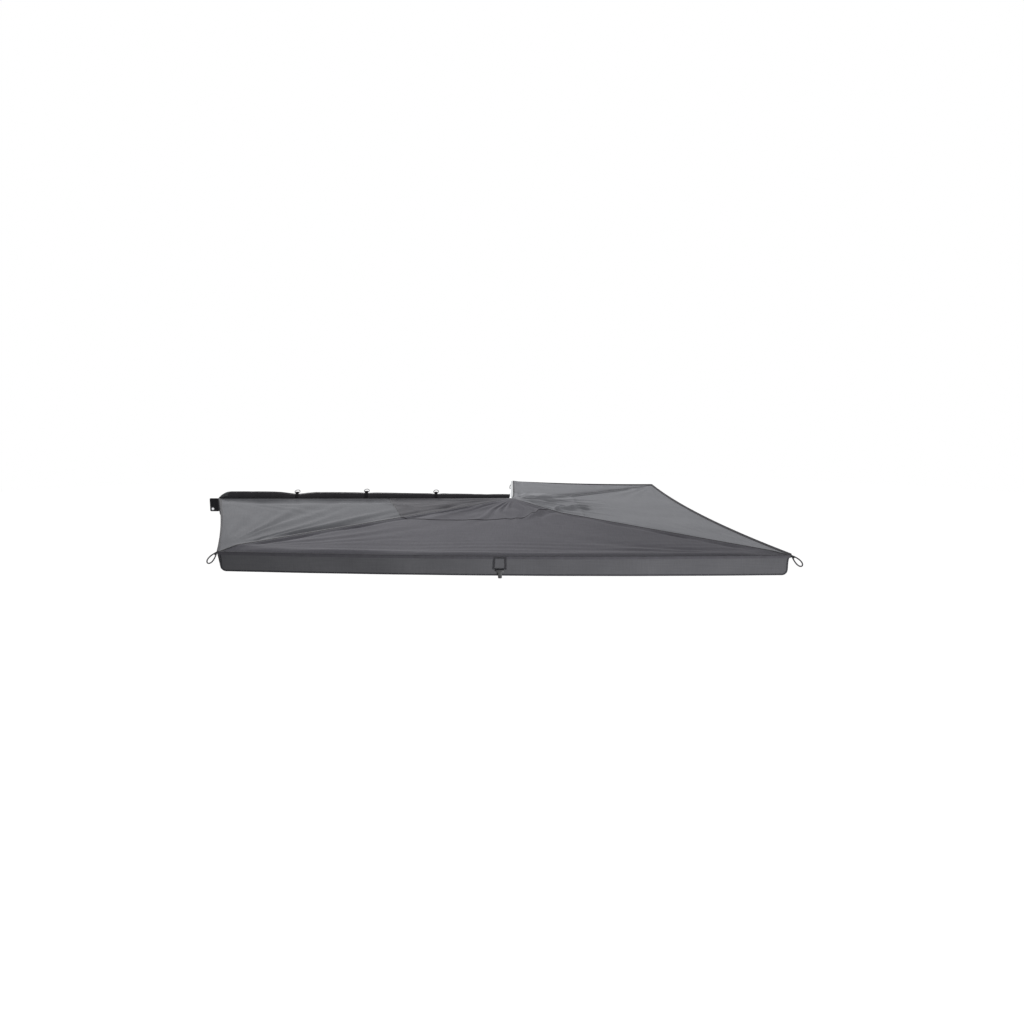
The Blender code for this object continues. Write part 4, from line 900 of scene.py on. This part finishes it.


# Cover bag: coated black cloth, 2.1 m long, zipped open and rolled up on the rail. It is fuller at
# the rail's far end, where a pale sheet on its end fold stands partly for the lining's edge and partly
# for a painted highlight on that fold, and it is creased along its length.
bag_front, bag_back = 0.1205, 0.1735
bag_middle, bag_half = (bag_front + bag_back) / 2, (bag_back - bag_front) / 2
bag_start, bag_end, bag_end_taper = 0.030, 2.178, 0.090
bag_left_top, bag_right_top = 0.0334, 0.0110
bag_skirt, bag_base_inset = 0.012, 0.005
rise_from, rise_over, rise_power = 0.200, 1.775, 0.8
dip_deep, dip_half, dip_wide = 0.012, 0.016, 0.085
pinch_deep, pinch_wide = 0.0030, 0.035
plate_end = 0.167 + bag_skirt
plate_high, rail_high, bag_clear = 0.0323, 0.026, 0.0003
ring_at = (0.566, 1.083, 1.600)


def bag_base(along):
    """Height of the bag's underside, on the hub's plate or further out on the rail."""
    return (plate_high if along < plate_end else rail_high) + bag_clear


def bag_top(along):
    """Height of the rolled bag's top above the pivot frame, with a dip where its last tab pulls it in."""
    share = min(max((along - rise_from) / rise_over, 0), 1)
    rise = bag_right_top + (bag_left_top - bag_right_top) * share**rise_power
    end = max(along - (bag_end - bag_end_taper), 0) / bag_end_taper
    dip = dip_deep * ridge(max(abs(along - ring_at[-1]) - dip_half, 0), dip_wide)
    return peak_height + rise - dip - (bag_left_top + cloth_edge_drop * 0.4) * end**1.6


def bag_point(along, turn):
    """A point on the bag, round it from its front bottom edge over to its back one."""
    low, high = bag_base(along), bag_top(along)
    angle = math.pi * (1 - turn)
    across = math.copysign(abs(math.cos(angle)) ** 0.8, math.cos(angle))
    up = low + bag_skirt + (high - low - bag_skirt) * math.sin(angle) ** 0.9
    swell = noise.noise(Vector((along * 2.3, turn * 1.5, 41.0)))
    rolls = math.sin(turn * 34 + swell * 6) * 0.5 + 0.5
    cross = noise.noise(Vector((along * 16, turn * 3, 44.0)))
    depth = math.sin(math.pi * turn) * (0.0026 * rolls + 0.0022 * max(cross, 0) + 0.0016 * (0.5 + swell))
    for ring in ring_at:
        depth += pinch_deep * ridge(along - ring, pinch_wide) * math.sin(math.pi * turn)
    inward = Vector((-math.cos(angle) * math.sin(math.pi * turn), -math.sin(angle)))
    return Vector((-along, bag_middle + bag_half * across + inward.x * depth * 0.5, up + inward.y * depth))


def cover_cloth(name, dark, pale):
    """Polyurethane-coated polyester: black, with a faint waxy sheen and a weave drawn at 3 mm."""
    made, tree = new_material(name, 0.62, specular=0.2, sheen=0.03)
    cut = add_node(tree, "ShaderNodeUVMap", uv_map="cut").outputs["UV"]
    colour = blotched(tree, cut, 0.12, dark, pale, 5.0)
    rubbed = add_node(tree, "ShaderNodeTexNoise", {"Vector": cut, "Scale": 1 / 0.03, "Detail": 4.0})
    satin = {"Value": rubbed.outputs["Fac"], "To Min": 0.5, "To Max": 0.75}
    wave = {"Scale": math.tau / 20 / 0.003, "Distortion": 0.3}
    creases = {"Height": rubbed.outputs["Fac"], "Strength": 0.4, "Distance": 0.003}
    weave = woven(tree, cut, wave, creases, {"Strength": 0.15, "Distance": 0.0004})
    return surfaced(made, colour, satin, weave)


bag_cloth = cover_cloth("coated_cover_cloth", "343337", "3d3c40")
places = spaced(bag_start, plate_end - 0.004, 10) + [plate_end - 0.004]
places += spaced(plate_end + 0.008, bag_end - bag_end_taper, 170) + spaced(bag_end - bag_end_taper, bag_end, 12)
places.append(bag_end)
sections = []
for along in places:
    section = [bag_point(along, turn / 36) for turn in range(37)]
    for y in (bag_back - bag_base_inset, bag_front + bag_base_inset):
        section.append(Vector((-along, y, bag_base(along))))
    sections.append(section)
bag = add_piece("cover_bag_cloth", swept_shape(sections), bag_cloth)
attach(bag, "root")
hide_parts("cover_bag")

gather_rings = (  # how far along the rail, the top, half the width and the bottom
    (0.033, 0.0672, 0.0262, 0.0330), (0.029, 0.0664, 0.0255, 0.0335), (0.025, 0.0655, 0.0240, 0.0350),
    (0.021, 0.0662, 0.0220, 0.0380), (0.018, 0.0690, 0.0195, 0.0420), (0.0155, 0.0712, 0.0150, 0.0480),
    (0.0145, 0.0705, 0.0090, 0.0560),
)
sections = []
for along, top, half, bottom in gather_rings:
    section = []
    for turn in range(20):
        angle = math.tau * turn / 20
        crease = 0.0008 * math.sin(turn * 2.6 + along * 300)
        z = (top + bottom) / 2 + ((top - bottom) / 2 + crease) * math.sin(angle)
        section.append(Vector((-along, bag_middle + (half + crease) * math.cos(angle), z)))
    sections.append(section)
gather = add_piece("cover_bag_gather", swept_shape(sections), bag_cloth)
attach(gather, "root")

# A pale sheet on the bag's end fold: partly its lining, partly a painted highlight on the fold.
lining = canvas("bag_lining", "5c5d5f", "6a6b6d")
lining_thick, lining_lift, lining_puff = 0.0009, 0.0012, 0.0022
rows = []
for step in range(9):
    along = bag_end - 0.072 + 0.060 * step / 8
    row = []
    for turn in range(21):
        point = bag_point(along + 0.006 * math.sin(turn * 0.7), 0.10 + 0.62 * turn / 20)
        away = Vector((0, point.y - bag_middle, point.z - 0.045)).normalized()
        row.append(point + away * (lining_lift + lining_puff * math.sin(math.pi * step / 8)))
    rows.append(row)
fold = sheet_shape(rows, Vector((0, 0, lining_thick)), lambda point: (point.x, point.z))
fold = add_piece("bag_lining_fold", fold, lining)
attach(fold, "root")


# Ring tabs and D-rings: 24 mm webbing comes up the bag's front, loops round the ring's bar and is
# stitched back on itself. The ring is bent from 5 mm zinc-plated wire, and butt welded.
tab_half, tab_thick, tab_clear = 0.012, 0.0018, 0.0005
tab_lean = Vector((0, -0.9, 0.45)).normalized()
ring_wire, ring_lean, ring_bend = 0.0025, math.radians(55), 0.0045
ring_half, ring_crown = 0.021 - ring_wire, 0.032 - 2 * ring_wire
ring_straight = ring_crown * 0.35
ring_arch = ring_crown - ring_straight
eye_inner = ring_wire + 0.0009
tab_webbing = webbing("tab_webbing", "1b1b1e", "232327", (0.003, 0.030, 0.040))
# The wire's zinc has weathered to a dull, finely pitted skin.
dull_steel = moulded("weathered_zinc_wire", "3a3b3d", "4c4d4f", 0.38, 0.0030, 0.0001, metallic=1.0)


def arc(x, z, radius, start_deg, turn_deg, steps):
    """Points along an arc round a middle, in an upright plane."""
    angles = [math.radians(start_deg + turn_deg * step / steps) for step in range(steps + 1)]
    return [(x + radius * math.cos(angle), z + radius * math.sin(angle)) for angle in angles]


def bent_round(name, points, radius, roundness, finish):
    """A wire or a cord of one thickness through a run of points in the model's own frame."""
    curve = bpy.data.curves.new(name, "CURVE")
    curve.dimensions = "3D"
    curve.bevel_depth = radius
    curve.bevel_resolution = roundness
    spline = curve.splines.new("POLY")
    spline.points.add(len(points) - 1)
    for spot, place in zip(spline.points, points):
        spot.co = (*place, 1)
    curve.materials.append(finish)
    made = bpy.data.objects.new(name, curve)
    bpy.context.collection.objects.link(made)
    return made


for number, along in enumerate(ring_at, 1):
    eye = Vector((-along, bag_middle, bag_top(along) + eye_inner + tab_thick + 0.0006))
    front = [bag_point(along, turn / 36) for turn in range(17)]
    front.insert(0, front[0] - Vector((0, 0, 0.002)))
    paths = []
    for lift in (tab_thick, 0.0):
        path = [point + tab_lean * (tab_clear + lift) for point in front]
        path += [Vector((-along, y, z)) for y, z in arc(eye.y, eye.z, eye_inner + lift, 190, -300, 28)]
        paths.append(path)
    side = Vector((tab_half, 0, 0))
    sections = [[one - side, one + side, two + side, two - side] for one, two in zip(*paths)]
    tab = add_piece(f"ring_tab_{number}_webbing", swept_shape(sections), tab_webbing)
    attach(tab, "root")
    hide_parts(f"ring_tab_{number}")

    flat = [(ring_half, ring_straight * 0.7)]
    flat += [(ring_half * x, ring_straight + ring_arch * z) for x, z in arc(0, 0, 1, 0, 180, 24)]
    flat += [(-ring_half, ring_straight * 0.7)] + arc(ring_bend - ring_half, ring_bend, ring_bend, 180, 90, 6)
    flat += arc(ring_half - ring_bend, ring_bend, ring_bend, -90, 90, 6)
    lean = Vector((0, math.sin(ring_lean), math.cos(ring_lean)))
    points = [pivot + eye + Vector((across, 0, 0)) + lean * up for across, up in flat]
    ring = bent_round(f"d_ring_{number}_wire", points, ring_wire, 4, dull_steel)
    ring.data.splines[0].use_cyclic_u = True
    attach(ring, f"ring_{number}")
    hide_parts(f"d_ring_{number}")


# End tab: a plain stiff tab of doubled webbing at the rail's far end, with rows of stitches and a
# pressed zinc eyelet for a peg or a tie.
tab_low, tab_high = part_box("end_tab")
tab_middle = (tab_low + tab_high) / 2 - pivot
tab_size = tab_high - tab_low
eyelet_at, eyelet_hole = (-0.014, -0.030), 0.0060
corner = 0.008
shape = bmesh.new()
layer = shape.loops.layers.uv.new("cut")
outline = []
for across, up, first in ((1, 1, 0), (-1, 1, 90), (-1, -1, 180), (1, -1, 270)):
    corner_x, corner_z = across * (tab_size.x / 2 - corner), up * (tab_size.z / 2 - corner)
    outline += arc(corner_x, corner_z, corner, first, 90, 5)
hole = arc(*eyelet_at, eyelet_hole, 0, 360, 24)[:-1]
edges = []
for ring_points in (outline, hole):
    made = [shape.verts.new(tab_middle + Vector((x, -tab_size.y / 2, z))) for x, z in ring_points]
    edges += [shape.edges.new(ends) for ends in zip(made, made[1:] + made[:1])]
bmesh.ops.triangle_fill(shape, edges=edges, use_beauty=True)
moved = bmesh.ops.extrude_face_region(shape, geom=list(shape.faces), use_keep_orig=True)
for vertex in [item for item in moved["geom"] if isinstance(item, bmesh.types.BMVert)]:
    vertex.co.y += tab_size.y
for face in shape.faces:
    for loop in face.loops:
        place = loop.vert.co - tab_middle
        loop[layer].uv = (place.z, place.x + tab_size.x / 2)
end_webbing = webbing("end_tab_webbing", "1b1b1e", "232327", (0.006, 0.030, 0.0335, 0.062))
end_tab = add_piece("end_tab_webbing", shape, end_webbing)
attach(end_tab, "root")
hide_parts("end_tab")
eyelet_profile = (
    (0.0058, -0.0019), (0.0058, 0.0019), (0.0066, 0.0026), (0.0085, 0.0026), (0.0105, 0.0018),
    (0.0105, 0.0015), (0.0062, 0.0013), (0.0062, -0.0013), (0.0100, -0.0015), (0.0100, -0.0019),
    (0.0080, -0.0024), (0.0064, -0.0024),
)
shape = bmesh.new()
made = []
for radius, away in eyelet_profile:
    circle = arc(*eyelet_at, radius, 0, 360, 32)[:-1]
    made.append([shape.verts.new(tab_middle + Vector((x, -away, z))) for x, z in circle])
for one, two in zip(made, made[1:] + made[:1]):
    for a, b, c, d in zip(one, two, two[1:] + two[:1], one[1:] + one[:1]):
        shape.faces.new([a, b, c, d])
eyelet = add_piece("end_tab_eyelet", shape, zinc)
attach(eyelet, "root")


# Corner loops: 7 mm braided polyester cord, bent round on itself, whose two ends are sewn and
# whipped together on the canopy's corner, past the arm's tip.
loop_length, loop_width, loop_cord = 0.082, 0.036, 0.0036
loop_fall_deg = (46.0, 38.0, 50.0, 72.0)
loop_fullest = 0.77
last_loop_way = Vector((-0.9, 0.45, 0)).normalized()
whipping_rings = ((0.002, 0.6, 0.8), (0.004, 1.0, 1.0), (0.012, 1.1, 1.0), (0.016, 1.15, 1.0))
whipping_rings += ((0.018, 0.9, 0.9),)
whipping_wide, whipping_thick = 0.0062, 0.0042


def braided_cord():
    """Braided polyester: soft and dull, with plaits 2.5 mm long that catch the light."""
    made, tree = new_material("braided_polyester_cord", 0.7)
    place = add_node(tree, "ShaderNodeTexCoord").outputs["Object"]
    plaits = add_node(tree, "ShaderNodeTexVoronoi", {"Vector": place, "Scale": 1 / 0.0025})
    # Painted highlight and shade: each plait's middle is paler and the gaps between plaits darker.
    ramp = add_node(tree, "ShaderNodeValToRGB", {"Fac": plaits.outputs["Distance"]})
    ramp.color_ramp.elements[0].color = linear("303034")
    ramp.color_ramp.elements[1].color = linear("1e1e21")
    raised = {"Height": plaits.outputs["Distance"], "Strength": 0.5, "Distance": -0.0006}
    return surfaced(made, ramp.outputs["Color"], raised=raised)


cord_finish = braided_cord()
whipping = webbing("loop_whipping", "222226", "2c2c30", (0.002,))
for index in range(4):
    corner_at = hem_point(index, 1)
    out = last_loop_way if index == 3 else Vector((corner_at.x, corner_at.y, 0)).normalized()
    fall = math.radians(loop_fall_deg[index])
    down = Vector((0, 0, -1))
    run = out * math.cos(fall) + down * math.sin(fall)
    side = out * math.sin(fall) - down * math.cos(fall)
    start = corner_at + out * (loop_cord - 0.0006) + down * cloth_thick / 2
    points = []
    for step in range(49):
        angle = math.tau * step / 48
        along = (1 - math.cos(angle)) / 2
        width = math.sin(angle) * math.sqrt(along) * (loop_width / 2 - loop_cord) / loop_fullest
        points.append(pivot + start + run * (loop_length - 2 * loop_cord) * along + side * width)
    loop = bent_round(f"corner_loop_{index + 1}_cord", points, loop_cord, 3, cord_finish)
    loop.data.use_fill_caps = True
    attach(loop, f"arm_{index + 1}")
    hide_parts(f"corner_loop_{index + 1}")
    across = run.cross(side).normalized()
    sections = []
    for away, wide, thick in whipping_rings:
        wide, thick = side * whipping_wide * wide, across * whipping_thick * thick
        sections.append([start + run * away + wide * x + thick * z for x, z in arc(0, 0, 1, 0, 360, 16)[:-1]])
    neck = add_piece(f"corner_loop_{index + 1}_whipping", swept_shape(sections), whipping)
    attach(neck, f"arm_{index + 1}")


# Front bail: two 11 mm straps hang from the middle of the front hem, joined along the top, and
# hold a moulded toggle bar that a tent pole or a guy line hooks on to.
bail_width, bail_height, strap, strap_thick, splay = 0.072, 0.072, 0.011, 0.002, 0.006
bail_clear, bail_shift, bail_bulge = 0.0012, 0.005, 0.0006
out = outwards[1]
bail_turn = Matrix.Rotation(math.atan2(out.y, out.x) + math.pi / 2, 3, "Z")
bail_at = hem_point(1, 0.5) + out * (bail_clear + valance_thick) + bail_turn @ Vector((bail_shift, 0, 0))
bail_webbing = webbing("bail_webbing", "1b1b1e", "252529", (0.002, 0.009))
half, foot = bail_width / 2, strap * 0.6
outer_path = [(-half - splay, -bail_height), (-half, 0), (half, 0), (half, -bail_height)]
inner_path = [(-half - splay + strap, foot - bail_height), (-half + strap, -strap), (half - strap, -strap)]
inner_path += [(half - strap, foot - bail_height)]


def round_path(path, steps):
    """Points along a closed path, so many to each of its legs, back to its start."""
    found = []
    for (x1, z1), (x2, z2) in zip(path, path[1:] + path[:1]):
        found += [(x1 + (x2 - x1) * step / steps, z1 + (z2 - z1) * step / steps) for step in range(steps)]
    return found + [path[0]]


sections = []
for (x1, z1), (x2, z2) in zip(round_path(outer_path, 10), round_path(inner_path, 10)):
    bulge = bail_bulge * math.sin(z1 * 90)
    near, far = -strap_thick + bulge, bulge
    corners = (Vector((x1, near, z1)), Vector((x2, near, z2)), Vector((x2, far, z2)), Vector((x1, far, z1)))
    sections.append([bail_at + bail_turn @ place for place in corners])
bail = add_piece("front_bail_webbing", swept_shape(sections), bail_webbing)
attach(bail, "bail")
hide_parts("front_bail")
finish_part("bail_toggle", nylon, 0.0012)
